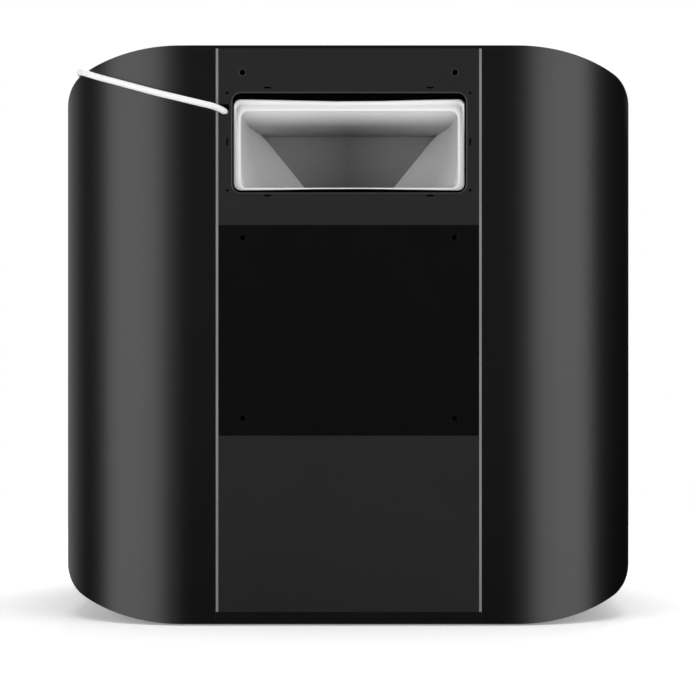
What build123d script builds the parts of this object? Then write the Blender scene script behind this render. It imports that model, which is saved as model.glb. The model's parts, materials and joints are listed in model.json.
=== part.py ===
"""Enclosed desktop delta 3-D printer, in millimetres.

+Z is up, the rear panels face -Y and the door faces +Y. The origin is the centre of the
footprint, on the surface that the rubber feet stand on. The filament guide tube lies
outside that footprint.
"""

import os
from math import atan2, cos, degrees, pi, radians, sin, sqrt, tan

from build123d import *

# ---------------------------------------------------------------- casing
case_width = 362.0
case_depth = 330.0
case_height = 356.0
wall = 2.0                    # side shells, base, top and rear panels
corner_radius = 85.0          # upright corners of the casing, seen from above
shoulder_width = 76.1         # shoulders of the sides, seen from behind
shoulder_drop = 36.05
shoulder_side_radius = 24.5
foot_lift = 1.0               # the pads hold the base this far off the table
foot_size = 24.0
foot_spacing_x = 160.0
foot_spacing_y = 250.0
handle_projection = 14.0      # door handle, in front of the casing
seat_gap = 0.3                # between parts that fit together
running_clearance = 0.05      # radial, shaft in a hole
flange_width = 24.0           # side shells, behind the edges of the base and the top
flange_thickness = 4.0
flange_end = 24.0
cover_rib_height = 3.5
cover_rib_offset = 70.0
vent_length = 34.0
vent_width = 4.0
vent_pitch = 12.0
vent_count = 5

# ---------------------------------------------------------------- rear face
rear_bay_width = 163.5        # between the two side shells
trim_width = 1.5
base_lip = 7.5                # upstand of the base pan below the lower panel
lower_panel_height = 108.6
service_cover_height = 129.4
panel_gap = 0.2

window_width = 144.2
window_height = 61.5
window_radius = 5.5
window_bottom_rise = 19.8     # from the upper panel's lower edge
bracket_spacing = 130.8
bracket_hole = 3.6
bracket_drop = 14.7           # below the upper panel's top edge
grille_hole_spacing_x = 149.4  # screws of the exhaust grille
grille_hole_spacing_z = 59.9
grille_hole = 1.7
grille_rise = 0.7             # the grille's pattern sits above the window's centre
clip_slot_length = 4.5
clip_slot_width = 1.1
clip_slot_spacing_x = 100.0
clip_slot_spacing_z = 66.4
notch_width = 5.8             # square entry of the filament tube
notch_height = 6.2
notch_edge = 0.85             # from the panel's edge
notch_centre_height = 71.2    # from the upper panel's lower edge
service_screw_spacing = 130.2
service_screw_drop = 7.7      # below the cover's upper edge
service_screw_rise = 10.4     # above its lower edge
screw_head = 3.8
screw_head_depth = 1.4
screw_shank = 2.0
screw_length = 8.0

# ---------------------------------------------------------------- rear bay
bay_depth = 54.0              # clear depth between the rear panels and the partition
partition_thickness = 2.0
rail_lap = 7.25               # rail behind the panel's edge
rail_flange = 17.0
rail_leg = 8.0
rail_thickness = 2.0
rail_ear = 14.0
rail_notch_gap = 1.5

duct_setback = 4.0            # rim behind the inside of the panel
duct_side_gap = 0.8           # rim inside the window's edges
duct_top_gap = 3.5
duct_bottom_gap = 1.6
duct_top_sag = 1.3            # the rim's long edges bow towards each other
duct_bottom_rise = 0.4
duct_rim_side = 3.7
duct_rim_top = 6.2
duct_rim_bottom = 1.8
duct_rim_thickness = 1.5
duct_lug = 7.0                # beyond the rim, seated on the rails
duct_lug_height = 20.0
duct_wall = 1.2
duct_depth = 45.0
duct_ceiling_fall = 13.5
duct_ceiling_bulge = 3.0      # of the curved ceiling below the straight slope
duct_back_top_half = 62.0
duct_back_bottom_half = 24.0
duct_floor_fall = 6.0
fan_size = 40.0
fan_thickness = 15.0
fan_bore = 37.6
fan_hub = 15.0
fan_blades = 7
fan_neck = 8.0                # from the duct's lowest floor to the fan
fan_back_gap = 21.0           # fan's axis to the duct's back wall
fan_strut = 2.0
fan_pin = 3.0
fan_face_gap = 1.0
fan_tip_gap = 0.9
fan_blade = 1.2
fan_pitch = 35.0
fan_chord_share = 0.8         # of the rotor's depth

board_width = 100.0
board_height = 96.0
board_thickness = 1.6
board_level = 126.0
board_standoff = 8.0
standoff_size = 6.0
driver_count = 4
driver_size = 14.0
driver_height = 9.0
driver_rise = 16.0            # above the board's centre
connector_width = 12.0
connector_height = 9.0
connector_count = 5
supply_width = 150.0
supply_depth = 38.0
supply_height = 95.0
terminal_width = 60.0
terminal_height = 12.0

inlet_width = 27.4
inlet_height = 20.0
inlet_depth = 20.0
inlet_lap = 3.0
inlet_y = -60.0
inlet_z = 62.0
inlet_cavity_depth = 15.0
inlet_wall = 3.0
inlet_pin = 2.0
inlet_pin_length = 12.0
inlet_pin_spacing = 7.0

# ---------------------------------------------------------------- feeder
feeder_x = -71.0              # path of the filament through the feeder
feeder_z = 313.2
feeder_setback = 20.0         # from the inside of the rear panel
feeder_open_side = 3.8        # from the path to the housing's open side
feeder_width = 20.0
feeder_plate = 3.0
feeder_end = 6.0
feeder_above = 14.0
feeder_gear_radius = 6.2
feeder_gear_teeth = 16
feeder_gear_length = 7.5
feeder_gear_back = 19.0       # gear's axis to the partition
feeder_tooth_depth = 0.8
filament = 1.75
lever_gap = 0.2               # over the filament
lever_thickness = 5.0
lever_tail = 2.0
lever_pivot_gap = 3.5
lever_pin = 3.0
fitting_size = 5.6

# ---------------------------------------------------------------- delta mechanism
tower_circle = 128.0          # radius of the tower centres
tower_size = 15.0
tower_slot = 3.4
tower_slot_depth = 4.0
tower_wall_gap = 1.0          # between the rear tower's block and the partition
frame_margin = 14.0           # frame plates outside the tower centres
rail_height = 6.5
rail_width = 9.0
rail_clearance = 0.1
rail_overrun = 12.0           # above the bearing at the top of its travel
rail_underrun = 60.0          # below the bearing at the bottom of its travel
block_height = 10.0           # linear bearing, over the tower's face
block_lift = 2.0
block_width = 20.0
block_length = 29.0
carriage_plate = 5.5
carriage_width = 42.0
carriage_length = 30.0
pivot_circle = 100.0          # carriage pivots, and the plane of the belts
effector_circle = 30.0
pivot_half_spacing = 24.0
pivot_pin = 3.0
eye_size = 8.0
eye_width = 5.0
eye_gap = 0.5
ear_thickness = 4.0
arm_length = 132.0
arm_rod = 4.0
travel = 90.0
nozzle_drop = 34.0            # nozzle tip below the effector's pivots
nozzle_gap = 0.3              # over the build sheet at the bottom of the travel

belt_width = 6.0
belt_thickness = 1.0
belt_gap = 0.2
pulley_teeth = 20
pulley_tip_radius = 6.05
pulley_tooth_depth = 0.7
tooth_gap_share = 0.8         # groove between two teeth, over half their pitch
tooth_overcut = 0.15          # grooves are cut from just outside the tips
pulley_length = 8.0
pulley_gap = 4.0              # from its bracket to the pulley
shaft = 5.0
clamp_wall = 2.5

motor_size = 35.2
motor_length = 26.0
motor_corner = 4.0
motor_plate = 4.0
motor_hole = 8.0
motor_bore_depth = 10.0
motor_height = 28.2           # shaft over the table
idler_height = 328.0
frame_plate = 4.0
frame_beam = 15.0
corner_width = 42.0
tower_block = 24.0
upper_frame_level = 338.0
upper_frame_thickness = 8.0
idler_bracket = 20.0
deck_level = 46.0
deck_thickness = 2.0
deck_slot_width = 21.8        # for the belts, carriages and towers

bed_diameter = 120.0
bed_thickness = 3.0
bed_standoff = 10.0
bed_standoff_size = 10.0
bed_standoff_circle = 48.0
sheet_thickness = 1.0

effector_plate = 5.0
effector_drop = 6.0           # from the pivots to the plate's top
yoke_width = 8.0
sink_size = 20.0
sink_height = 22.0
sink_core = 9.0
sink_fins = 5
sink_fin = 1.6
heat_break = 5.0
push_fitting = 8.0
push_fitting_height = 11.0
heater_length = 20.0
heater_width = 16.0
heater_height = 11.5
nozzle_height = 7.0
nozzle_radius = 3.5
nozzle_taper = 22.0
head_fan_size = 30.0
head_fan_thickness = 10.0
head_fan_bore = 26.6
head_fan_hub = 12.0
head_fan_blades = 5

# ---------------------------------------------------------------- front
front_thickness = 3.0
fascia_height = 57.0
door_width = 160.0
door_height = 266.4
door_gap = 0.8
door_thickness = 5.7
door_border = 12.0
door_radius = 8.0
glass_thickness = 3.0
glass_lap = 3.0
stop_lip = 4.8
stop_thickness = 2.5
hinge_radius = 3.0
hinge_pin = 3.0
hinge_barrel = 14.0
hinge_inset = 34.0            # from the door's top and bottom edges to the hinges
hinge_leaf = 12.0
hinge_leaf_thickness = 1.5
handle_length = 90.0
handle_width = 10.0
handle_bar = 5.0
handle_slope = 75.0           # ends of the handle, in degrees
handle_grip = 70.0            # clear length for the fingers

display_width = 54.0
display_height = 28.0
display_lap = 6.0
display_depth = 6.0
control_spacing = 62.0
knob_diameter = 26.0
knob_length = 10.0
knob_gap = 1.0
knob_shaft = 6.0
encoder_size = 14.0
encoder_depth = 7.0
button_width = 14.0
button_height = 9.0
button_proud = 2.4
button_travel = 2.0
button_lap = 1.5
button_depth = 5.0
switch_wall = 2.0

# ---------------------------------------------------------------- filament tubes
tube_diameter = 4.0
coil_radius = 24.0            # middle of the turns
coil_stack = 12.0
coil_spread = 8.0
coil_centre = (-166.0, 166.0)
arc_share = 0.45              # of the shorter run, taken by each arc
fitting_mouth = 4.3           # from the fitting's mouth to its elbow
guide_route = [               # from the feeder's fitting, over the shoulder, down to the coil
    (-72.5, -161.6, 314.1), (-80.2, -179.0, 319.8), (-97.0, -178.0, 323.4),
    (-118.9, -173.0, 328.4), (-140.4, -164.1, 334.7), (-158.2, -151.0, 340.0),
    (-168.4, -137.8, 344.3), (-170.6, -117.0, 345.0), (-171.2, -75.0, 344.6),
    (-173.5, -22.0, 344.0), (-177.5, 32.0, 340.5), (-183.5, 74.0, 328.5),
    (-184.5, 98.0, 300.0), (-180.5, 107.0, 242.0), (-179.5, 110.0, 183.0),
    (-181.0, 108.5, 124.0), (-180.5, 111.0, 66.0), (-185.5, 120.0, 23.0),
    (-190.5, 135.0, 8.0), (-190.5, 148.5, 6.0)]
bowden_route = [              # from the partition to the fitting over the hotend
    (-71.0, -116.0, 313.2), (-69.0, -84.0, 317.5), (-47.0, -34.0, 321.0),
    (-9.0, 10.0, 308.0), (0.0, 29.0, 262.0), (0.0, 29.0, 213.3)]

# ---------------------------------------------------------------- derived planes and places
rear_face = -(case_depth + handle_projection) / 2
front_face = rear_face + case_depth
case_centre_y = (rear_face + front_face) / 2
case_centre_z = foot_lift + case_height / 2
case_top = foot_lift + case_height
floor_top = foot_lift + wall
roof_underside = case_top - wall
front_half_width = case_width / 2 - corner_radius

lower_panel_bottom = foot_lift + base_lip
service_bottom = lower_panel_bottom + lower_panel_height
upper_panel_bottom = service_bottom + service_cover_height
panel_half_width = rear_bay_width / 2 - trim_width
panel_inside = rear_face + wall
partition_face = panel_inside + bay_depth
partition_front = partition_face + partition_thickness

window_centre_z = upper_panel_bottom + window_bottom_rise + window_height / 2
bracket_z = roof_underside - bracket_drop
notch_x = -panel_half_width + notch_edge + notch_width / 2
notch_z = upper_panel_bottom + notch_centre_height
service_screw_levels = [service_bottom + service_screw_rise,
                        upper_panel_bottom - panel_gap - service_screw_drop]

delta_y = partition_front + tower_wall_gap + frame_margin + tower_circle
tower_angles = {"a": -90.0, "b": 30.0, "c": 150.0}
tower_face = tower_circle - tower_size / 2
block_face = tower_face - block_height
plate_face = block_face - carriage_plate
pulley_start = pivot_circle - pulley_length / 2
bracket_outer = pulley_start - pulley_gap
bracket_inner = bracket_outer - motor_plate
belt_inner_radius = pulley_tip_radius + belt_gap
belt_outer_radius = belt_inner_radius + belt_thickness
belt_run = (belt_inner_radius + belt_outer_radius) / 2

bed_level = deck_level + deck_thickness + bed_standoff
sheet_top = bed_level + bed_thickness + sheet_thickness
nozzle_rest = sheet_top + nozzle_gap + travel
effector_pivot = nozzle_rest + nozzle_drop
arm_rise = sqrt(arm_length ** 2 - (pivot_circle - effector_circle) ** 2)
carriage_pivot = effector_pivot + arm_rise
pin_end = pivot_half_spacing + eye_width / 2 + eye_gap
ear_end = pivot_half_spacing - eye_width / 2 - eye_gap
effector_top = effector_pivot - effector_drop
effector_bottom = effector_top - effector_plate

door_bottom = floor_top + fascia_height + door_gap
door_centre_z = door_bottom + door_height / 2
door_back = front_face - door_thickness
hinge_axis_x = door_width / 2 + door_gap + hinge_radius
hinge_axis_y = front_face + hinge_radius
hinge_levels = [door_bottom + hinge_inset, door_bottom + door_height - hinge_inset]
fascia_centre_z = floor_top + fascia_height / 2
fascia_back = front_face - front_thickness
stop_front = door_back - seat_gap
stop_back = stop_front - stop_thickness
frame_level = floor_top + flange_thickness
roof_level = roof_underside - flange_thickness
deck_front = fascia_back - display_depth - door_gap
feeder_rear = panel_inside + feeder_setback
feeder_gear_y = partition_face - feeder_gear_back
feeder_gear_z = feeder_z - feeder_gear_radius - filament / 2
feeder_open = feeder_x + feeder_open_side
feeder_motor_face = feeder_open - feeder_width
lever_pivot_y = feeder_rear + feeder_end + lever_pivot_gap
lever_bottom = feeder_z + filament / 2 + lever_gap

pieces = {}


# ---------------------------------------------------------------- shared planes and forms
def rear_plane(y):
    """Upright plane at y. Local x is +X, local y is +Z, and an extrusion runs towards the rear."""
    return Plane.XZ.offset(-y)


def tower_plane(angle, radius):
    """Upright plane facing outwards at a tower. Local x is tangential and local y is +Z."""
    turn = radians(angle)
    outward = Vector(cos(turn), sin(turn), 0)
    tangent = Vector(-sin(turn), cos(turn), 0)
    return Plane(origin=Vector(0, delta_y, 0) + outward * radius, x_dir=tangent, z_dir=outward)


def level_plane(angle, height):
    """Level plane about the delta's centre. Local x points at a tower, local y is tangential."""
    turn = radians(angle)
    return Plane(origin=(0, delta_y, height), x_dir=(cos(turn), sin(turn), 0), z_dir=(0, 0, 1))


def side_plane(angle, offset):
    """Upright plane across a tower's tangent. Local x points at the tower, local y is +Z."""
    turn = radians(angle)
    outward = Vector(cos(turn), sin(turn), 0)
    tangent = Vector(-sin(turn), cos(turn), 0)
    return Plane(origin=Vector(0, delta_y, 0) + tangent * offset, x_dir=outward, z_dir=-tangent)


def span(low, high):
    """Middle and length of the stretch between two values."""
    return (low + high) / 2, high - low


def casing_volume(inset):
    """The casing's outer form, drawn in by inset all round."""
    half = case_width / 2 - inset
    high = case_height / 2 - inset
    across = shoulder_width - inset
    drop = shoulder_drop - inset
    side_radius = shoulder_side_radius - inset
    top_radius = (across ** 2 + drop ** 2 - 2 * across * side_radius) / (2 * (drop - side_radius))
    meet = side_radius / (top_radius - side_radius)
    meet_x = half - side_radius + meet * (across - side_radius)
    meet_z = high - drop + meet * (top_radius - drop)
    with BuildPart() as volume:
        with BuildSketch(Plane.XY.offset(foot_lift + inset)):
            with Locations((0, case_centre_y)):
                RectangleRounded(2 * half, case_depth - 2 * inset, corner_radius - inset)
        extrude(amount=2 * high)
        with BuildSketch(rear_plane(front_face)):
            with BuildLine() as outline:
                Line((0, case_centre_z + high), (half - across, case_centre_z + high))
                RadiusArc((half - across, case_centre_z + high), (meet_x, case_centre_z + meet_z),
                          top_radius)
                RadiusArc((meet_x, case_centre_z + meet_z), (half, case_centre_z + high - drop),
                          side_radius)
                Line((half, case_centre_z + high - drop), (half, case_centre_z))
                mirror(about=Plane.XZ.offset(-case_centre_z))
                mirror(about=Plane.YZ)
            make_face(outline.edges())
        extrude(amount=case_depth, mode=Mode.INTERSECT)
    return volume.part


def fan_frame(plane, size, thickness, bore, hub):
    """Square axial fan frame, open at its first face, with three struts at the second."""
    with BuildPart() as frame:
        with BuildSketch(plane):
            Rectangle(size, size)
            Circle(bore / 2, mode=Mode.SUBTRACT)
        extrude(amount=thickness)
        with BuildSketch(plane.offset(thickness - fan_strut)):
            RegularPolygon(hub / 2, 6)
            with PolarLocations(bore / 4, 3):
                Rectangle(bore / 2 + fan_strut, fan_strut)
            Circle(fan_pin / 2 + running_clearance, mode=Mode.SUBTRACT)
        extrude(amount=fan_strut)
    return frame.part


def fan_rotor(plane, thickness, bore, hub, blades):
    """Hub and pitched blades of an axial fan, with the stub shaft that turns in the frame."""
    depth = thickness - fan_strut - fan_face_gap
    chord = fan_chord_share * depth
    root = hub / 2 - fan_blade
    tip = bore / 2 - fan_tip_gap
    middle = plane.offset((fan_face_gap + depth) / 2)
    with BuildPart() as rotor:
        with BuildSketch(plane.offset(fan_face_gap / 2)):
            Circle(hub / 2)
        extrude(amount=depth)
        with BuildSketch(plane.offset(fan_face_gap / 2 + depth)):
            Circle(fan_pin / 2)
        extrude(amount=fan_strut)
        for index in range(blades):
            turn = radians(index * 360 / blades)
            outward = middle.x_dir * cos(turn) + middle.y_dir * sin(turn)
            with BuildSketch(Plane(origin=middle.origin + outward * root,
                                   x_dir=middle.z_dir, z_dir=outward)):
                Rectangle(chord, fan_blade, rotation=fan_pitch)
            extrude(amount=tip - root)
    return rotor.part


def toothed_wheel(plane, radius, tooth, teeth, length):
    """Wheel with straight grooves between its teeth."""
    with BuildPart() as wheel:
        with BuildSketch(plane):
            RegularPolygon(radius, 2 * teeth)
            with PolarLocations(radius - tooth / 2, teeth, start_angle=90 / teeth):
                Rectangle(tooth + tooth_overcut, pi * radius / teeth * tooth_gap_share,
                          mode=Mode.SUBTRACT)
        extrude(amount=length)
    return wheel.part


outer_form = casing_volume(0)
cavity_form = casing_volume(wall)
fitted_form = casing_volume(wall + seat_gap)


# ---------------------------------------------------------------- casing shells
def edge_of(side):
    """Alignment that grows a rectangle away from the middle of the casing."""
    return Align.MIN if side > 0 else Align.MAX


def side_shell(side):
    """One moulded side: two upright corners, the flat side and its shoulders."""
    flange_length = case_depth - 2 * flange_end
    with BuildPart() as shell:
        add(outer_form)
        add(cavity_form, mode=Mode.SUBTRACT)
        with BuildSketch():
            with Locations((side * rear_bay_width / 2, rear_face)):
                Rectangle(case_width, case_depth / 2, align=(edge_of(side), Align.MIN))
            with Locations((side * front_half_width, case_centre_y)):
                Rectangle(case_width, case_depth / 2, align=(edge_of(side), Align.MIN))
        extrude(amount=case_top, mode=Mode.INTERSECT)
        with BuildSketch(rear_plane(front_face)):
            with Locations((0, foot_lift + wall / 2), (0, case_top - wall / 2)):
                Rectangle(2 * front_half_width, wall)
        extrude(amount=case_depth, mode=Mode.SUBTRACT)
        with BuildSketch(rear_plane(case_centre_y + flange_length / 2)):
            with Locations((side * front_half_width, floor_top + flange_thickness / 2),
                           (side * front_half_width, roof_underside - flange_thickness / 2)):
                Rectangle(flange_width, flange_thickness)
        extrude(amount=flange_length)
        if side > 0:
            with BuildSketch(Plane.YZ.offset(case_width / 2 - 2 * wall)):
                with Locations((inlet_y, inlet_z)):
                    Rectangle(inlet_width + seat_gap, inlet_height + seat_gap)
            extrude(amount=3 * wall, mode=Mode.SUBTRACT)
    return shell.part


pieces["left_side_shell"] = side_shell(-1)
pieces["right_side_shell"] = side_shell(1)

with BuildPart() as base_pan:
    with BuildSketch(Plane.XY.offset(foot_lift)):
        with Locations((0, case_centre_y)):
            Rectangle(2 * front_half_width, case_depth)
            with GridLocations(vent_pitch, 2 * vent_length, vent_count, 2):
                Rectangle(vent_width, vent_length, mode=Mode.SUBTRACT)
    extrude(amount=wall)
    with BuildSketch(rear_plane(panel_inside)):
        with Locations((0, foot_lift)):
            Rectangle(rear_bay_width, base_lip, align=(Align.CENTER, Align.MIN))
    extrude(amount=wall)
pieces["base_pan"] = base_pan.part

with BuildPart() as top_cover:
    with BuildSketch(Plane.XY.offset(roof_underside)):
        with Locations((0, case_centre_y)):
            Rectangle(2 * front_half_width, case_depth)
    extrude(amount=wall)
    with BuildSketch(Plane.XY.offset(roof_underside - cover_rib_height)):
        with Locations((0, case_centre_y)):
            with GridLocations(2 * cover_rib_offset, 0, 2, 1):
                Rectangle(wall, case_depth - 2 * flange_end)
    extrude(amount=cover_rib_height)
pieces["top_cover"] = top_cover.part

with BuildPart() as feet:
    with BuildSketch():
        with Locations((0, case_centre_y)):
            with GridLocations(foot_spacing_x, foot_spacing_y, 2, 2):
                Rectangle(foot_size, foot_size)
    extrude(amount=foot_lift)
pieces["feet"] = feet.part


# ---------------------------------------------------------------- rear panels
with BuildPart() as rear_upper_panel:
    with BuildSketch(rear_plane(panel_inside)):
        middle, height = span(upper_panel_bottom, roof_underside)
        with Locations((0, middle)):
            Rectangle(2 * panel_half_width, height)
        with Locations((0, window_centre_z)):
            RectangleRounded(window_width, window_height, window_radius, mode=Mode.SUBTRACT)
        with Locations((0, window_centre_z + grille_rise)):
            with GridLocations(grille_hole_spacing_x, grille_hole_spacing_z, 2, 2):
                Circle(grille_hole / 2, mode=Mode.SUBTRACT)
            with GridLocations(grille_hole_spacing_x, 0, 2, 1):
                Rectangle(clip_slot_width, clip_slot_length, mode=Mode.SUBTRACT)
            with GridLocations(clip_slot_spacing_x, clip_slot_spacing_z, 2, 2):
                Rectangle(clip_slot_length, clip_slot_width, mode=Mode.SUBTRACT)
        with Locations((0, bracket_z)):
            with GridLocations(bracket_spacing, 0, 2, 1):
                Circle(bracket_hole / 2, mode=Mode.SUBTRACT)
        with Locations((notch_x, notch_z)):
            Rectangle(notch_width, notch_height, mode=Mode.SUBTRACT)
    extrude(amount=wall)
pieces["rear_upper_panel"] = rear_upper_panel.part


def service_screw_places():
    """Places of the four screws of the service cover, in the rear plane."""
    return [(side * service_screw_spacing / 2, level)
            for side in (-1, 1) for level in service_screw_levels]


with BuildPart(rear_plane(rear_face)) as rear_service_cover:
    middle, height = span(service_bottom, upper_panel_bottom - panel_gap)
    with Locations((0, middle)):
        Box(2 * panel_half_width, height, wall, align=(Align.CENTER, Align.CENTER, Align.MAX))
    with Locations(*service_screw_places()):
        CounterBoreHole(screw_shank / 2 + running_clearance, screw_head / 2 + running_clearance,
                        screw_head_depth, wall)
pieces["rear_service_cover"] = rear_service_cover.part

with BuildPart() as rear_lower_panel:
    with BuildSketch(rear_plane(panel_inside)):
        middle, height = span(lower_panel_bottom, service_bottom - panel_gap)
        with Locations((0, middle)):
            Rectangle(2 * panel_half_width, height)
    extrude(amount=wall)
pieces["rear_lower_panel"] = rear_lower_panel.part

with BuildPart() as rear_trim_strips:
    with BuildSketch(rear_plane(panel_inside)):
        middle, height = span(lower_panel_bottom, roof_underside)
        with Locations((0, middle)):
            with GridLocations(rear_bay_width - trim_width, 0, 2, 1):
                Rectangle(trim_width, height)
    extrude(amount=wall)
pieces["rear_trim_strips"] = rear_trim_strips.part

with BuildPart() as rear_rails:
    for side in (-1, 1):
        rail_edge = side * (panel_half_width - rail_lap)
        with BuildSketch(rear_plane(panel_inside + rail_thickness)):
            middle, height = span(floor_top, roof_underside)
            with Locations((rail_edge, middle)):
                Rectangle(rail_flange, height, align=(edge_of(side), Align.CENTER))
            with Locations(*[(rail_edge, level) for level in service_screw_levels]):
                Rectangle(rail_ear, rail_ear, align=(edge_of(-side), Align.CENTER))
            with Locations(*service_screw_places()):
                Circle(screw_shank / 2 + running_clearance, mode=Mode.SUBTRACT)
            with Locations((notch_x, notch_z)):
                Rectangle(2 * rail_lap, notch_height + 2 * rail_notch_gap, mode=Mode.SUBTRACT)
        extrude(amount=rail_thickness)
        with BuildSketch(rear_plane(panel_inside + rail_leg)):
            with Locations((rail_edge + side * (rail_flange - rail_thickness), middle)):
                Rectangle(rail_thickness, height, align=(edge_of(side), Align.CENTER))
        extrude(amount=rail_leg)
pieces["rear_rails"] = rear_rails.part

with BuildPart(rear_plane(rear_face)) as cover_screws:
    with Locations(*service_screw_places()):
        Cylinder(screw_head / 2, screw_head_depth, align=(Align.CENTER, Align.CENTER, Align.MAX))
        Cylinder(screw_shank / 2, screw_length, align=(Align.CENTER, Align.CENTER, Align.MAX))
pieces["cover_screws"] = cover_screws.part


# ---------------------------------------------------------------- exhaust duct and fan
rim_plane_y = panel_inside + duct_setback
rim_half = window_width / 2 - duct_side_gap
rim_top = window_centre_z + window_height / 2 - duct_top_gap
rim_bottom = window_centre_z - window_height / 2 + duct_bottom_gap
mouth_half = rim_half - duct_rim_side
mouth_top = rim_top - duct_rim_top
mouth_bottom = rim_bottom + duct_rim_bottom
duct_back_y = rim_plane_y + duct_depth
exhaust_fan_y = duct_back_y - fan_back_gap
exhaust_fan_top = mouth_bottom - duct_floor_fall - fan_neck


def hopper(grow):
    """Inside of the duct, drawn out by grow on every side but its mouth."""
    back = duct_back_y + grow
    ceiling = mouth_top + grow
    floor = mouth_bottom - grow
    with BuildPart() as form:
        with BuildSketch(Plane.YZ.offset(-mouth_half - grow)):
            with BuildLine() as outline:
                Line((rim_plane_y, floor), (rim_plane_y, ceiling))
                SagittaArc((rim_plane_y, ceiling), (back, ceiling - duct_ceiling_fall),
                           -duct_ceiling_bulge)
                Line((back, ceiling - duct_ceiling_fall), (back, floor - duct_floor_fall))
                Line((back, floor - duct_floor_fall), (rim_plane_y, floor))
            make_face(outline.edges())
        extrude(amount=2 * (mouth_half + grow))
        for side in (-1, 1):
            mouth_low = Vector(side * (mouth_half + grow), rim_plane_y, floor)
            back_high = Vector(side * (duct_back_top_half + grow), back,
                               ceiling - duct_ceiling_fall)
            back_low = Vector(side * (duct_back_bottom_half + grow), back,
                              floor - duct_floor_fall)
            flank = (back_high - mouth_low).cross(Vector(0, 0, side))
            facet = (back_low - mouth_low).cross(back_high - mouth_low) * side
            for normal in (flank, facet):
                split(bisect_by=Plane(origin=mouth_low, z_dir=normal), keep=Keep.BOTTOM)
    return form.part


duct_outside = hopper(duct_wall)
duct_inside = hopper(0)

with BuildPart() as exhaust_duct:
    add(duct_outside)
    with BuildSketch(rear_plane(rim_plane_y + duct_rim_thickness)):
        with BuildLine() as outline:
            Line((-rim_half, rim_bottom), (-rim_half, rim_top))
            SagittaArc((-rim_half, rim_top), (rim_half, rim_top), -duct_top_sag)
            Line((rim_half, rim_top), (rim_half, rim_bottom))
            SagittaArc((rim_half, rim_bottom), (-rim_half, rim_bottom), -duct_bottom_rise)
        make_face(outline.edges())
    extrude(amount=duct_rim_thickness)
    with BuildSketch(rear_plane(rim_plane_y + duct_rim_thickness)):
        with Locations((0, window_centre_z)):
            Rectangle(2 * (rim_half + duct_lug), duct_lug_height)
            Rectangle(2 * mouth_half, duct_lug_height, mode=Mode.SUBTRACT)
    extrude(amount=duct_rim_thickness)
    with BuildSketch(rear_plane(rim_plane_y)):
        with Locations((0, window_centre_z)):
            Rectangle(2 * (rim_half + duct_lug), duct_lug_height)
            Rectangle(window_width + 2 * seat_gap, duct_lug_height, mode=Mode.SUBTRACT)
    extrude(amount=duct_setback - rail_thickness)
    with BuildSketch(Plane.XY.offset(exhaust_fan_top)):
        with Locations((0, exhaust_fan_y)):
            Rectangle(fan_size, fan_size)
    extrude(amount=fan_neck + duct_floor_fall / 2)
    add(duct_inside, mode=Mode.SUBTRACT)
    with BuildSketch(Plane.XY.offset(exhaust_fan_top)):
        with Locations((0, exhaust_fan_y)):
            Circle(fan_bore / 2)
    extrude(amount=fan_neck + duct_floor_fall, mode=Mode.SUBTRACT)
pieces["exhaust_duct"] = exhaust_duct.part

exhaust_fan_plane = Plane(origin=(0, exhaust_fan_y, exhaust_fan_top), x_dir=(1, 0, 0),
                          z_dir=(0, 0, -1))
pieces["exhaust_fan_frame"] = fan_frame(exhaust_fan_plane, fan_size, fan_thickness, fan_bore,
                                        fan_hub)
pieces["exhaust_fan_rotor"] = fan_rotor(exhaust_fan_plane, fan_thickness, fan_bore, fan_hub,
                                        fan_blades)


# ---------------------------------------------------------------- rear bay contents
standoff_rows = board_height - 2 * standoff_size
standoff_columns = board_width - 2 * standoff_size
board_centre_z = board_level + board_height / 2

with BuildPart() as bay_partition:
    add(fitted_form)
    with BuildSketch(rear_plane(partition_front)):
        middle, height = span(frame_level, roof_level)
        with Locations((0, middle)):
            Rectangle(case_width, height)
        with Locations((feeder_x, feeder_z)):
            Circle(tube_diameter / 2 + seat_gap, mode=Mode.SUBTRACT)
    extrude(amount=partition_thickness, mode=Mode.INTERSECT)
    with BuildSketch(rear_plane(partition_face)):
        with Locations((0, board_centre_z)):
            with GridLocations(standoff_columns, standoff_rows, 2, 2):
                Rectangle(standoff_size, standoff_size)
    extrude(amount=board_standoff)
pieces["bay_partition"] = bay_partition.part

with BuildPart() as mainboard:
    board_back = partition_face - board_standoff
    with BuildSketch(rear_plane(board_back)):
        with Locations((0, board_centre_z)):
            Rectangle(board_width, board_height)
    extrude(amount=board_thickness)
    with BuildSketch(rear_plane(board_back - board_thickness)):
        with Locations((0, board_centre_z + driver_rise)):
            with GridLocations(board_width / driver_count, 0, driver_count, 1):
                Rectangle(driver_size, driver_size)
        with Locations((0, board_centre_z - board_height / 2 + connector_height)):
            with GridLocations(board_width / connector_count, 0, connector_count, 1):
                Rectangle(connector_width, connector_height)
    extrude(amount=driver_height)
pieces["mainboard"] = mainboard.part

with BuildPart() as power_supply:
    supply_y = panel_inside + bay_depth / 2
    with BuildSketch(Plane.XY.offset(floor_top)):
        with Locations((0, supply_y)):
            Rectangle(supply_width, supply_depth)
    extrude(amount=supply_height)
    with BuildSketch(Plane.XY.offset(floor_top + supply_height)):
        with Locations(((supply_width - terminal_width) / 2, supply_y)):
            Rectangle(terminal_width, supply_depth / 2)
    extrude(amount=terminal_height)
pieces["power_supply"] = power_supply.part

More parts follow.
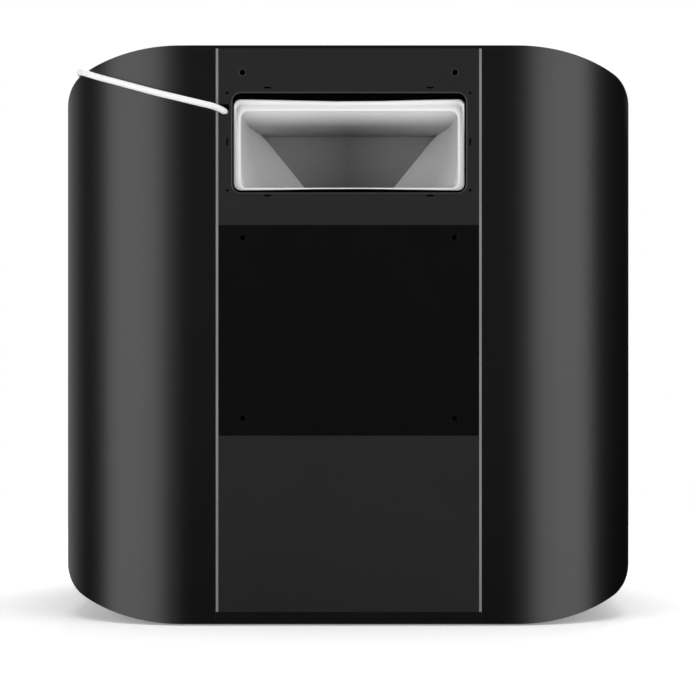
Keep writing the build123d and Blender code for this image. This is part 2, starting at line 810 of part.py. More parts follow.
with BuildPart() as power_inlet:
    outside = case_width / 2
    with BuildSketch(Plane.YZ.offset(outside - inlet_depth)):
        with Locations((inlet_y, inlet_z)):
            Rectangle(inlet_width, inlet_height)
    extrude(amount=inlet_depth)
    with BuildSketch(Plane.YZ.offset(outside - wall - inlet_lap)):
        with Locations((inlet_y, inlet_z)):
            Rectangle(inlet_width + 2 * inlet_lap, inlet_height + 2 * inlet_lap)
    extrude(amount=inlet_lap)
    with BuildSketch(Plane.YZ.offset(outside - inlet_cavity_depth)):
        with Locations((inlet_y, inlet_z)):
            Rectangle(inlet_width - 2 * inlet_wall, inlet_height - 2 * inlet_wall)
            with GridLocations(inlet_pin_spacing, 0, 3, 1):
                Rectangle(inlet_pin, 2 * inlet_pin, mode=Mode.SUBTRACT)
    extrude(amount=inlet_cavity_depth, mode=Mode.SUBTRACT)
    with BuildSketch(Plane.YZ.offset(outside - inlet_cavity_depth + inlet_pin_length)):
        with Locations((inlet_y, inlet_z)):
            Rectangle(inlet_width - 2 * inlet_wall, inlet_height - 2 * inlet_wall)
    extrude(amount=inlet_cavity_depth - inlet_pin_length, mode=Mode.SUBTRACT)
pieces["power_inlet"] = power_inlet.part


# ---------------------------------------------------------------- feeder
feeder_bottom = feeder_gear_z - motor_size / 2
feeder_wall_bottom = feeder_z - feeder_end


def motor_body(plane, bore):
    """Square stepper motor behind its face plane, with the hole that its shaft turns in."""
    with BuildPart() as motor:
        with BuildSketch(plane) as outline:
            Rectangle(motor_size, motor_size)
            chamfer(outline.vertices(), motor_corner)
        extrude(amount=motor_length)
        with BuildSketch(plane):
            Circle(bore / 2 + running_clearance)
        extrude(amount=motor_bore_depth, mode=Mode.SUBTRACT)
    return motor.part


with BuildPart() as feeder_body:
    middle_y, length = span(feeder_rear, partition_face)
    with BuildSketch(Plane.YZ.offset(feeder_motor_face)):
        middle_z, height = span(feeder_bottom, feeder_z + feeder_above)
        with Locations((middle_y, middle_z)):
            Rectangle(length, height)
        with Locations((feeder_gear_y, feeder_gear_z)):
            Rectangle(motor_hole, motor_hole, mode=Mode.SUBTRACT)
        with Locations((lever_pivot_y, lever_bottom + lever_thickness / 2)):
            Circle(lever_pin / 2 + running_clearance, mode=Mode.SUBTRACT)
    extrude(amount=feeder_plate)
    with BuildSketch(Plane.YZ.offset(feeder_motor_face + feeder_plate)):
        middle_z, height = span(feeder_wall_bottom, feeder_z + feeder_above)
        with Locations((middle_y, middle_z)):
            Rectangle(length, height)
            Rectangle(length - 2 * feeder_end, height, mode=Mode.SUBTRACT)
    extrude(amount=feeder_width - feeder_plate)
    with BuildSketch(rear_plane(partition_face)):
        with Locations((feeder_x, feeder_z)):
            Circle(tube_diameter / 2 + running_clearance)
    extrude(amount=bay_depth, mode=Mode.SUBTRACT)
pieces["feeder_body"] = feeder_body.part

feeder_motor_plane = Plane(origin=(feeder_motor_face, feeder_gear_y, feeder_gear_z),
                           x_dir=(0, 1, 0), z_dir=(-1, 0, 0))
pieces["feeder_motor"] = motor_body(feeder_motor_plane, shaft)

gear_start = feeder_open - seat_gap - feeder_gear_length
with BuildPart() as feeder_gear:
    add(toothed_wheel(Plane(origin=(gear_start, feeder_gear_y, feeder_gear_z),
                            x_dir=(0, 1, 0), z_dir=(1, 0, 0)),
                      feeder_gear_radius, feeder_tooth_depth, feeder_gear_teeth,
                      feeder_gear_length))
    shaft_start = feeder_motor_face - motor_bore_depth + running_clearance
    with BuildSketch(Plane.YZ.offset(shaft_start)):
        with Locations((feeder_gear_y, feeder_gear_z)):
            Circle(shaft / 2)
    extrude(amount=gear_start - shaft_start)
pieces["feeder_gear"] = feeder_gear.part

with BuildPart() as feeder_lever:
    pad_start = feeder_open - feeder_gear_length
    with BuildSketch(Plane.YZ.offset(pad_start)):
        middle_y, length = span(lever_pivot_y - lever_tail,
                                partition_face - feeder_end - door_gap)
        with Locations((middle_y, lever_bottom + lever_thickness / 2)):
            Rectangle(length, lever_thickness)
    extrude(amount=feeder_gear_length)
    with BuildSketch(Plane.YZ.offset(feeder_motor_face + seat_gap)):
        with Locations((lever_pivot_y, lever_bottom + lever_thickness / 2)):
            Circle(lever_pin / 2)
    extrude(amount=pad_start - feeder_motor_face - seat_gap)
pieces["feeder_lever"] = feeder_lever.part


# ---------------------------------------------------------------- frame of the delta
def ring_plates(level, thickness):
    """Corner plates under or over the towers, joined by three beams."""
    with BuildPart() as ring:
        for angle in tower_angles.values():
            with BuildSketch(level_plane(angle, level)):
                middle, length = span(bracket_inner, tower_circle + frame_margin)
                with Locations((middle, 0)):
                    Rectangle(length, corner_width)
            extrude(amount=thickness)
            with BuildSketch(level_plane(angle + 180, level)):
                with Locations(((tower_circle + frame_margin) / 2, 0)):
                    Rectangle(frame_beam, tower_circle * sqrt(3))
            extrude(amount=thickness)
    return ring.part


def tower_pockets(level, height):
    """Square holes that hold the three tower extrusions."""
    with BuildPart() as pockets:
        for angle in tower_angles.values():
            with BuildSketch(level_plane(angle, level)):
                with Locations((tower_circle, 0)):
                    Rectangle(tower_size + seat_gap, tower_size + seat_gap)
            extrude(amount=height)
    return pockets.part


tower_bottom = frame_level + frame_plate
tower_top = upper_frame_level + upper_frame_thickness
lower_ring = ring_plates(frame_level, frame_plate)
upper_ring = ring_plates(upper_frame_level, upper_frame_thickness)
lower_pockets = tower_pockets(tower_bottom, deck_level - tower_bottom)
upper_pockets = tower_pockets(upper_frame_level, upper_frame_thickness)

with BuildPart() as lower_frame:
    add(lower_ring)
    for angle in tower_angles.values():
        with BuildSketch(level_plane(angle, tower_bottom)):
            with Locations((tower_circle, 0)):
                Rectangle(tower_block, corner_width)
            with Locations((bracket_inner + motor_plate / 2, 0)):
                Rectangle(motor_plate, corner_width)
        extrude(amount=deck_level - tower_bottom)
        with BuildSketch(tower_plane(angle, bracket_inner)):
            with Locations((0, motor_height)):
                Circle(motor_hole / 2)
        extrude(amount=motor_plate, mode=Mode.SUBTRACT)
    add(lower_pockets, mode=Mode.SUBTRACT)
pieces["lower_frame"] = lower_frame.part

with BuildPart() as upper_frame:
    add(upper_ring)
    for angle in tower_angles.values():
        with BuildSketch(tower_plane(angle, bracket_inner)):
            with Locations((0, idler_height - idler_bracket / 2)):
                Rectangle(idler_bracket, upper_frame_level - idler_height + idler_bracket / 2,
                          align=(Align.CENTER, Align.MIN))
            with Locations((0, idler_height)):
                Circle(shaft / 2 + running_clearance, mode=Mode.SUBTRACT)
        extrude(amount=motor_plate)
    add(upper_pockets, mode=Mode.SUBTRACT)
pieces["upper_frame"] = upper_frame.part

with BuildPart() as tower_extrusions:
    for angle in tower_angles.values():
        with BuildSketch(level_plane(angle, tower_bottom)):
            with Locations((tower_circle, 0)):
                Rectangle(tower_size, tower_size)
                with PolarLocations((tower_size - tower_slot_depth) / 2, 4):
                    Rectangle(tower_slot_depth, tower_slot, mode=Mode.SUBTRACT)
        extrude(amount=tower_top - tower_bottom)
pieces["tower_extrusions"] = tower_extrusions.part

rail_top = carriage_pivot + block_length / 2 + rail_overrun
rail_bottom = carriage_pivot - travel - block_length / 2 - rail_underrun
with BuildPart() as linear_rails:
    for angle in tower_angles.values():
        with BuildSketch(level_plane(angle, rail_bottom)):
            with Locations((tower_face - rail_height / 2, 0)):
                Rectangle(rail_height, rail_width)
        extrude(amount=rail_top - rail_bottom)
pieces["linear_rails"] = linear_rails.part

with BuildPart() as stepper_motors:
    for angle in tower_angles.values():
        face = tower_plane(angle, bracket_inner)
        add(motor_body(Plane(origin=face.origin + Vector(0, 0, motor_height),
                             x_dir=face.x_dir, z_dir=-face.z_dir), shaft))
pieces["stepper_motors"] = stepper_motors.part

with BuildPart() as belts:
    for angle in tower_angles.values():
        with BuildSketch(tower_plane(angle, pivot_circle - belt_width / 2)):
            with Locations((0, (motor_height + idler_height) / 2)):
                reach = idler_height - motor_height
                SlotCenterToCenter(reach, 2 * belt_outer_radius, rotation=90)
                SlotCenterToCenter(reach, 2 * belt_inner_radius, rotation=90,
                                   mode=Mode.SUBTRACT)
        extrude(amount=belt_width)
pieces["belts"] = belts.part


for name, angle in tower_angles.items():
    face = tower_plane(angle, pulley_start)
    drive_plane = Plane(origin=face.origin + Vector(0, 0, motor_height), x_dir=face.x_dir,
                        z_dir=face.z_dir)
    drive_wheel = toothed_wheel(drive_plane, pulley_tip_radius, pulley_tooth_depth,
                                pulley_teeth, pulley_length)
    with BuildPart() as drive_pulley:
        add(drive_wheel)
        shaft_start = bracket_inner - motor_bore_depth + running_clearance
        with BuildSketch(tower_plane(angle, shaft_start)):
            with Locations((0, motor_height)):
                Circle(shaft / 2)
        extrude(amount=pulley_start - shaft_start)
    pieces["drive_pulley_" + name] = drive_pulley.part
    with BuildPart() as idler:
        with BuildSketch(face):
            with Locations((0, idler_height)):
                Circle(pulley_tip_radius)
        extrude(amount=pulley_length)
        with BuildSketch(tower_plane(angle, bracket_inner)):
            with Locations((0, idler_height)):
                Circle(shaft / 2)
        extrude(amount=pulley_start - bracket_inner)
    pieces["idler_" + name] = idler.part


# ---------------------------------------------------------------- carriages, arms, effector
def carriage(angle):
    """Bearing block, plate, two ears with pivot pins and the clamp on one run of the belt."""
    with BuildPart() as body:
        with BuildSketch(level_plane(angle, carriage_pivot - block_length / 2)):
            middle, depth = span(block_face, tower_face - block_lift)
            with Locations((middle, 0)):
                Rectangle(depth, block_width)
            middle, depth = span(tower_face - rail_height - rail_clearance, tower_face)
            with Locations((middle, 0)):
                Rectangle(depth, rail_width + 2 * rail_clearance, mode=Mode.SUBTRACT)
        extrude(amount=block_length)
        with BuildSketch(tower_plane(angle, plate_face)):
            with Locations((0, carriage_pivot)):
                Rectangle(carriage_width, carriage_length)
        extrude(amount=carriage_plate)
        for side in (-1, 1):
            with BuildSketch(side_plane(angle, side * ear_end)):
                middle, depth = span(pivot_circle - eye_size / 2, plate_face)
                with Locations((middle, carriage_pivot)):
                    Rectangle(depth, eye_size)
            extrude(amount=side * ear_thickness)
            with BuildSketch(side_plane(angle, side * pin_end)):
                with Locations((pivot_circle, carriage_pivot)):
                    Circle(pivot_pin / 2)
            extrude(amount=side * (pin_end - ear_end))
        clamp_slot_width = belt_width + 2 * seat_gap
        clamp_slot_depth = belt_thickness + 2 * seat_gap
        with BuildSketch(level_plane(angle, carriage_pivot - eye_size)):
            middle, depth = span(pivot_circle - clamp_slot_width / 2 - clamp_wall, plate_face)
            with Locations((middle, belt_run)):
                Rectangle(depth, clamp_slot_depth + 2 * clamp_wall)
            with Locations((pivot_circle, belt_run)):
                Rectangle(clamp_slot_width, clamp_slot_depth, mode=Mode.SUBTRACT)
        extrude(amount=2 * eye_size)
    return body.part


for name, angle in tower_angles.items():
    pieces["carriage_" + name] = carriage(angle)

arm_reach = pivot_circle - effector_circle
arm_slope = atan2(arm_rise, arm_reach)
with BuildPart() as arms:
    for angle in tower_angles.values():
        outward = level_plane(angle, 0).x_dir
        along = outward * cos(arm_slope) + Vector(0, 0, sin(arm_slope))
        for side in (-1, 1):
            eye_face = side * (pivot_half_spacing + eye_width / 2)
            with BuildSketch(side_plane(angle, eye_face)):
                with Locations((pivot_circle, carriage_pivot), (effector_circle, effector_pivot)):
                    Rectangle(eye_size, eye_size, rotation=degrees(arm_slope))
                with Locations((pivot_circle, carriage_pivot)):
                    Circle(pivot_pin / 2 + running_clearance, mode=Mode.SUBTRACT)
            extrude(amount=side * eye_width)
            centre = side_plane(angle, side * pivot_half_spacing)
            root = centre.origin + outward * effector_circle + Vector(0, 0, effector_pivot)
            end = eye_size / 2 - seat_gap
            with BuildSketch(Plane(origin=root + along * end, z_dir=along)):
                Circle(arm_rod / 2)
            extrude(amount=arm_length - 2 * end)
pieces["arms"] = arms.part

with BuildPart() as effector:
    with BuildSketch(level_plane(0, effector_bottom)):
        RegularPolygon(effector_circle + yoke_width / 2, 6, major_radius=False)
        Circle(heat_break / 2 + seat_gap, mode=Mode.SUBTRACT)
    extrude(amount=effector_plate)
    for angle in tower_angles.values():
        with BuildSketch(level_plane(angle, effector_top)):
            with Locations((effector_circle, 0)):
                Rectangle(yoke_width, 2 * pivot_half_spacing - eye_width)
        extrude(amount=effector_pivot - effector_top + yoke_width / 2)
pieces["effector"] = effector.part

heater_bottom = nozzle_rest + nozzle_height
heater_top = heater_bottom + heater_height
with BuildPart() as heater_block:
    with BuildSketch(level_plane(0, heater_bottom)):
        Rectangle(heater_length, heater_width)
    extrude(amount=heater_height)
    with BuildSketch(level_plane(0, heater_bottom)):
        RegularPolygon(nozzle_radius, 6)
    extrude(amount=-nozzle_height, taper=nozzle_taper)
pieces["heater_block"] = heater_block.part

sink_pitch = (sink_height - sink_fin) / (sink_fins - 1)
with BuildPart() as hotend:
    with BuildSketch(level_plane(0, heater_top)):
        Circle(heat_break / 2)
    extrude(amount=effector_top - heater_top)
    with BuildSketch(level_plane(0, effector_top)):
        Rectangle(sink_core, sink_core)
    extrude(amount=sink_height)
    for fin in range(sink_fins):
        with BuildSketch(level_plane(0, effector_top + fin * sink_pitch)):
            Rectangle(sink_size, sink_size)
        extrude(amount=sink_fin)
    with BuildSketch(level_plane(0, effector_top + sink_height)):
        RegularPolygon(push_fitting / 2, 6)
    extrude(amount=push_fitting_height)
    with BuildSketch(level_plane(0, effector_top + sink_height)):
        Circle(tube_diameter / 2 + running_clearance)
    extrude(amount=push_fitting_height, mode=Mode.SUBTRACT)
pieces["hotend"] = hotend.part

head_fan_plane = Plane(origin=(0, delta_y + sink_size / 2, effector_top + head_fan_size / 2),
                       x_dir=(1, 0, 0), z_dir=(0, 1, 0))
pieces["hotend_fan_frame"] = fan_frame(head_fan_plane, head_fan_size, head_fan_thickness,
                                       head_fan_bore, head_fan_hub)
pieces["hotend_fan_rotor"] = fan_rotor(head_fan_plane, head_fan_thickness, head_fan_bore,
                                       head_fan_hub, head_fan_blades)


# ---------------------------------------------------------------- deck and bed
with BuildPart() as deck_plate:
    add(fitted_form)
    with BuildSketch(Plane.XY.offset(deck_level)):
        middle, length = span(partition_front + seat_gap, deck_front)
        with Locations((0, middle)):
            Rectangle(case_width, length)
    extrude(amount=deck_thickness, mode=Mode.INTERSECT)
    for angle in tower_angles.values():
        with BuildSketch(level_plane(angle, deck_level)):
            middle, length = span(bracket_outer + door_gap, tower_circle + tower_size / 2 + door_gap)
            with Locations((middle, 0)):
                Rectangle(length, deck_slot_width)
        extrude(amount=deck_thickness, mode=Mode.SUBTRACT)
        with BuildSketch(level_plane(angle, deck_level + deck_thickness)):
            with Locations((bed_standoff_circle, 0)):
                Rectangle(bed_standoff_size, bed_standoff_size)
        extrude(amount=bed_standoff)
pieces["deck_plate"] = deck_plate.part

with BuildPart() as heated_bed:
    with BuildSketch(level_plane(0, bed_level)):
        Circle(bed_diameter / 2)
    extrude(amount=bed_thickness)
pieces["heated_bed"] = heated_bed.part

with BuildPart() as build_sheet:
    with BuildSketch(level_plane(0, bed_level + bed_thickness)):
        Circle(bed_diameter / 2)
    extrude(amount=sheet_thickness)
pieces["build_sheet"] = build_sheet.part


# ---------------------------------------------------------------- front
opening_width = door_width + 2 * door_gap
opening_height = door_height + 2 * door_gap

with BuildPart() as front_frame:
    with BuildSketch(rear_plane(front_face)):
        middle, height = span(floor_top, roof_underside)
        with Locations((0, middle)):
            Rectangle(2 * front_half_width, height)
        with Locations((0, door_centre_z)):
            RectangleRounded(opening_width, opening_height, door_radius, mode=Mode.SUBTRACT)
        with Locations((0, fascia_centre_z)):
            Rectangle(display_width, display_height, mode=Mode.SUBTRACT)
        with Locations((-control_spacing, fascia_centre_z)):
            Circle(knob_shaft / 2 + seat_gap, mode=Mode.SUBTRACT)
        with Locations((control_spacing, fascia_centre_z)):
            Rectangle(button_width + 2 * seat_gap, button_height + 2 * seat_gap,
                      mode=Mode.SUBTRACT)
    extrude(amount=front_thickness)
    with BuildSketch(rear_plane(fascia_back)):
        with Locations((0, door_centre_z)):
            Rectangle(opening_width + 2 * stop_thickness, opening_height + 2 * stop_thickness)
            Rectangle(opening_width, opening_height, mode=Mode.SUBTRACT)
    extrude(amount=fascia_back - stop_back)
    with BuildSketch(rear_plane(stop_front)):
        with Locations((0, door_centre_z)):
            Rectangle(opening_width, opening_height)
            Rectangle(opening_width - 2 * stop_lip, opening_height - 2 * stop_lip,
                      mode=Mode.SUBTRACT)
    extrude(amount=stop_thickness)
pieces["front_frame"] = front_frame.part

with BuildPart() as hinge_brackets:
    for level in hinge_levels:
        with BuildSketch(Plane.XY.offset(level - hinge_barrel)):
            with Locations((hinge_axis_x, hinge_axis_y)):
                Circle(hinge_radius)
            with Locations((hinge_axis_x, front_face)):
                Rectangle(hinge_leaf, hinge_leaf_thickness, align=(Align.MIN, Align.MIN))
        extrude(amount=hinge_barrel)
        with BuildSketch(Plane.XY.offset(level)):
            with Locations((hinge_axis_x, hinge_axis_y)):
                Circle(hinge_pin / 2)
        extrude(amount=hinge_barrel - hinge_pin)
pieces["hinge_brackets"] = hinge_brackets.part

with BuildPart() as door_frame:
    light_width = door_width - 2 * door_border
    light_height = door_height - 2 * door_border
    with BuildSketch(rear_plane(front_face)):
        with Locations((0, door_centre_z)):
            RectangleRounded(door_width, door_height, door_radius)
            Rectangle(light_width, light_height, mode=Mode.SUBTRACT)
    extrude(amount=door_thickness)
    with BuildSketch(rear_plane(door_back + glass_thickness)):
        with Locations((0, door_centre_z)):
            Rectangle(light_width + 2 * glass_lap, light_height + 2 * glass_lap)
    extrude(amount=glass_thickness, mode=Mode.SUBTRACT)
    for level in hinge_levels:
        with BuildSketch(Plane.XY.offset(level + seat_gap)):
            with Locations((hinge_axis_x, hinge_axis_y)):
                Circle(hinge_radius)
            with Locations((hinge_axis_x, front_face)):
                Rectangle(hinge_leaf, hinge_leaf_thickness, align=(Align.MAX, Align.MIN))
            with Locations((hinge_axis_x, hinge_axis_y)):
                Circle(hinge_pin / 2 + running_clearance, mode=Mode.SUBTRACT)
        extrude(amount=hinge_barrel)
pieces["door_frame"] = door_frame.part

with BuildPart() as door_glass:
    with BuildSketch(rear_plane(door_back + glass_thickness)):
        with Locations((0, door_centre_z)):
            Rectangle(light_width + 2 * glass_lap - 2 * seat_gap,
                      light_height + 2 * glass_lap - 2 * seat_gap)
    extrude(amount=glass_thickness)
pieces["door_glass"] = door_glass.part

with BuildPart() as door_handle:
    handle_x = -(door_width - door_border) / 2
    with BuildSketch(Plane.YZ.offset(handle_x - handle_width / 2)):
        with Locations((front_face, door_centre_z)):
            Trapezoid(handle_length, handle_projection, handle_slope, rotation=-90,
                      align=(Align.CENTER, Align.MIN))
            Rectangle(handle_projection - handle_bar, handle_grip,
                      align=(Align.MIN, Align.CENTER), mode=Mode.SUBTRACT)
    extrude(amount=handle_width)
pieces["door_handle"] = door_handle.part

with BuildPart() as display_module:
    with BuildSketch(rear_plane(fascia_back)):
        with Locations((0, fascia_centre_z)):
            Rectangle(display_width + 2 * display_lap, display_height + 2 * display_lap)
    extrude(amount=display_depth)
    with BuildSketch(rear_plane(front_face - door_gap)):
        with Locations((0, fascia_centre_z)):
            Rectangle(display_width - seat_gap, display_height - seat_gap)
    extrude(amount=front_thickness - door_gap)
pieces["display_module"] = display_module.part

with BuildPart() as encoder_body:
    with BuildSketch(rear_plane(fascia_back)):
        with Locations((-control_spacing, fascia_centre_z)):
            Rectangle(encoder_size, encoder_size)
            Circle(knob_shaft / 2 + running_clearance, mode=Mode.SUBTRACT)
    extrude(amount=encoder_depth)
pieces["encoder_body"] = encoder_body.part

with BuildPart() as control_knob:
    with BuildSketch(rear_plane(front_face + knob_gap + knob_length)):
        with Locations((-control_spacing, fascia_centre_z)):
            Circle(knob_diameter / 2)
    extrude(amount=knob_length)
    with BuildSketch(rear_plane(front_face + knob_gap)):
        with Locations((-control_spacing, fascia_centre_z)):
            Circle(knob_shaft / 2)
    extrude(amount=knob_gap + front_thickness + encoder_depth - seat_gap)
pieces["control_knob"] = control_knob.part

flange_back = fascia_back - seat_gap - button_lap
peg_end = flange_back - button_depth
with BuildPart() as power_button:
    with BuildSketch(rear_plane(front_face + button_proud)):
        with Locations((control_spacing, fascia_centre_z)):
            Rectangle(button_width, button_height)
    extrude(amount=front_face + button_proud - flange_back)
    with BuildSketch(rear_plane(fascia_back - seat_gap)):
        with Locations((control_spacing, fascia_centre_z)):
            Rectangle(button_width + 2 * button_lap, button_height + 2 * button_lap)
    extrude(amount=button_lap)
    with BuildSketch(rear_plane(flange_back)):
        with Locations((control_spacing, fascia_centre_z)):
            Rectangle(button_width / 2, button_height / 2)
    extrude(amount=button_depth)
pieces["power_button"] = power_button.part

with BuildPart() as power_switch_body:
    guide_start = flange_back - button_travel - seat_gap
    bottom = peg_end - button_travel - seat_gap
    outer_width = button_width + 2 * (button_lap + seat_gap + switch_wall)
    outer_height = button_height + 2 * (button_lap + seat_gap + switch_wall)
    with BuildSketch(rear_plane(fascia_back)):
        with Locations((control_spacing, fascia_centre_z)):
            Rectangle(outer_width, outer_height)
    extrude(amount=fascia_back - bottom + switch_wall)
    with BuildSketch(rear_plane(fascia_back)):
        with Locations((control_spacing, fascia_centre_z)):
            Rectangle(outer_width - 2 * switch_wall, outer_height - 2 * switch_wall)
    extrude(amount=fascia_back - guide_start, mode=Mode.SUBTRACT)
    with BuildSketch(rear_plane(guide_start)):
        with Locations((control_spacing, fascia_centre_z)):
            Rectangle(button_width / 2 + 2 * running_clearance,
                      button_height / 2 + 2 * running_clearance)
    extrude(amount=guide_start - bottom, mode=Mode.SUBTRACT)
pieces["power_switch_body"] = power_switch_body.part


# ---------------------------------------------------------------- filament tubes
def tube_along(points):
    """Tube along straight runs, joined by arcs that take most of the shorter run."""
    corners = [Vector(*point) for point in points]
    radii = []
    for before, corner, after in zip(corners, corners[1:], corners[2:]):
        half_turn = radians((corner - before).get_angle(after - corner)) / 2
        shorter = min((corner - before).length, (after - corner).length)
        radii.append(arc_share * shorter / tan(half_turn))
    with BuildPart() as tube:
        with BuildLine() as path:
            FilletPolyline(*corners, radius=radii)
        with BuildSketch(Plane(origin=path.line @ 0, z_dir=path.line % 0)):
            Circle(tube_diameter / 2)
        sweep()
    return tube.part


pieces["filament_tube"] = tube_along(guide_route)
pieces["bowden_tube"] = tube_along(bowden_route)

mouth = Vector(*guide_route[0])
inwards = (mouth - Vector(*guide_route[1])).normalized()
elbow = mouth + inwards * fitting_mouth
with BuildPart() as tube_fitting:
    with BuildSketch(rear_plane(feeder_rear)):
        with Locations((elbow.X, elbow.Z)):
            Rectangle(fitting_size, fitting_size)
    extrude(amount=feeder_rear - elbow.Y)
    with BuildSketch(Plane(origin=mouth, x_dir=(0, 0, 1), z_dir=inwards)):
        RegularPolygon(fitting_size / 2, 6, major_radius=False)
    extrude(amount=fitting_mouth)
    with BuildSketch(Plane(origin=mouth, x_dir=(0, 0, 1), z_dir=inwards)):
        Circle(tube_diameter / 2 + running_clearance)
    extrude(amount=fitting_mouth, mode=Mode.SUBTRACT)
pieces["tube_fitting"] = tube_fitting.part

with BuildPart() as tube_coil:
    with BuildSketch():
        with Locations(coil_centre):
            Circle(coil_radius + coil_spread / 2)
            Circle(coil_radius - coil_spread / 2, mode=Mode.SUBTRACT)
    extrude(amount=coil_stack)
pieces["tube_coil"] = tube_coil.part


# ---------------------------------------------------------------- export
os.makedirs("parts", exist_ok=True)
for name, piece in pieces.items():
    piece.label = name
    export_step(piece, "parts/" + name + ".step")
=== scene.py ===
"""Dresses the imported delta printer: finishes for its solids, and shaped pieces over them.

Sizes are written in millimetres and become metres as a mesh is made. +Z is up, the rear
panels face -Y and the door faces +Y.
"""

import json

import bmesh
import bpy
import numpy as np
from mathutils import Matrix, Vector


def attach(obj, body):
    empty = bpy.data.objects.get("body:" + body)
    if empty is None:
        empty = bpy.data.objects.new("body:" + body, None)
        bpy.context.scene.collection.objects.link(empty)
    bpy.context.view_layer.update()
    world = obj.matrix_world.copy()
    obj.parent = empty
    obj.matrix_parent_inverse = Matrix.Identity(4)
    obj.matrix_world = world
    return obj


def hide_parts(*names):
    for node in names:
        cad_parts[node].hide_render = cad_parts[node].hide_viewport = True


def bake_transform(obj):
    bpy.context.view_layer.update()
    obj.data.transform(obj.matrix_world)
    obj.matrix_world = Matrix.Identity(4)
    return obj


for start_up in ("Cube", "Light", "Camera"):
    if start_up in bpy.data.objects:
        bpy.data.objects.remove(bpy.data.objects[start_up])
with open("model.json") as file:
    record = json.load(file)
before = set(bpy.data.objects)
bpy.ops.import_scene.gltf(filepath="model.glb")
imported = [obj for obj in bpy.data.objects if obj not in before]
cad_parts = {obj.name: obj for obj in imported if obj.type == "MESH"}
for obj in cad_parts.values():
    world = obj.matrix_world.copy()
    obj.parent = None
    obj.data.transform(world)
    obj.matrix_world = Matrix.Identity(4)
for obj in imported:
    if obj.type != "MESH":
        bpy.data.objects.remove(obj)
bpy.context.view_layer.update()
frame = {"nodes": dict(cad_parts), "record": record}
nodes = frame["nodes"]

MM = 0.001
TAU = 2 * np.pi

# ------------------------ sizes shared with the solids
rear_face = -172.0
front_face = 158.0
delta_y = 29.0
tower_angles = {"a": -90.0, "b": 30.0, "c": 150.0}
window_centre = np.array([0.0, 297.05])
window_size = (144.2, 61.5)
window_radius = 5.5
grille_level = 297.75
bracket_hole = (65.4, 340.3)
grille_screw = (74.7, 29.95)
cover_screw_x = 65.1
cover_screw_levels = (127.5, 238.6)
duct_face = -166.0
duct_wall = -120.6
carriage_pivot = 298.2
effector_pivot = 186.3
pivot_circle = 100.0
effector_circle = 30.0
pivot_spacing = 24.0
fascia_level = 31.5
control_x = 62.0
hinge_x = 83.8
hinge_levels = (94.8, 293.2)
door_level = 194.0


# ------------------------ meshes from arrays
def quads(rows, columns, ring=False, tube=False):
    """Quads of a grid of rows by columns. ring joins the last column to the first, tube the
    last row to the first."""
    row = np.arange(rows if tube else rows - 1)
    column = np.arange(columns if ring else columns - 1)
    a, b = np.meshgrid(row, column, indexing="ij")
    c, d = (a + 1) % rows, (b + 1) % columns
    corners = [a * columns + b, a * columns + d, c * columns + d, c * columns + b]
    return np.stack(corners, -1).reshape(-1, 4)


def shell(points, ring=False, tube=False):
    """A patch: the grid's points as a list, with the quads between them."""
    rows, columns = points.shape[:2]
    return points.reshape(-1, 3), quads(rows, columns, ring, tube)


def capped(points):
    """A patch of rings whose first and last ring are each closed by a fan to their middle."""
    first = np.broadcast_to(points[:1].mean(axis=1, keepdims=True), points[:1].shape)
    last = np.broadcast_to(points[-1:].mean(axis=1, keepdims=True), points[-1:].shape)
    return shell(np.concatenate([first, points, last]), ring=True)


def together(patches):
    """Several patches as one: their points end to end, with the quads' numbers moved on."""
    starts = np.cumsum([0] + [len(points) for points, _ in patches[:-1]])
    points = np.concatenate([points for points, _ in patches])
    faces = np.concatenate([faces + start for (_, faces), start in zip(patches, starts)])
    return points, faces


def added(name, data):
    """A new object of that data, in the scene."""
    made = bpy.data.objects.new(name, data)
    bpy.context.scene.collection.objects.link(made)
    return made


def piece(name, patches, body, slot, look=None, stands_for=(), crease=35.0):
    """Makes one object of the patches, which are in millimetres, and lets it ride on body.
    Doubles are merged and faces turned outwards; edges sharper than crease degrees stay
    sharp. Its material is look, or else the slot's own, and stands_for names the solids
    that it hides."""
    points, faces = together(patches)
    mesh = bpy.data.meshes.new(name)
    mesh.from_pydata((points * MM).tolist(), [], faces.tolist())
    work = bmesh.new()
    work.from_mesh(mesh)
    bmesh.ops.remove_doubles(work, verts=work.verts, dist=1e-6)
    bmesh.ops.dissolve_degenerate(work, edges=work.edges, dist=1e-7)
    bmesh.ops.recalc_face_normals(work, faces=work.faces)
    work.to_mesh(mesh)
    work.free()
    mesh.polygons.foreach_set("use_smooth", np.ones(len(mesh.polygons), bool))
    mesh.set_sharp_from_angle(angle=np.radians(crease))
    made = added(name, mesh)
    mesh.materials.append(look or looks[slot])
    if stands_for:
        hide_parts(*stands_for)
    if body:
        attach(made, body)
    return made


def axes_along(direction):
    """Two unit vectors across a direction, and the direction itself at unit length."""
    along = np.asarray(direction, float)
    along = along / np.linalg.norm(along)
    helper = np.array([0.0, 0.0, 1.0]) if abs(along[2]) < 0.9 else np.array([1.0, 0.0, 0.0])
    across = np.cross(helper, along)
    across /= np.linalg.norm(across)
    return across, np.cross(along, across), along


def lathe(profile, centre, direction, steps=48, lobes=None):
    """Turned form: profile gives (radius, height) pairs, and each point is centre + height
    along direction + radius round it. lobes(turn, row) may scale the radius."""
    across, up, along = axes_along(direction)
    radius, height = np.asarray(profile, float).T
    turn = np.arange(steps) * TAU / steps
    reach = np.repeat(radius[:, None], steps, axis=1)
    if lobes is not None:
        reach = reach * lobes(turn[None, :], np.arange(len(radius))[:, None])
    points = (np.asarray(centre, float) + height[:, None, None] * along
              + reach[..., None] * (np.cos(turn)[None, :, None] * across
                                    + np.sin(turn)[None, :, None] * up))
    return capped(points)


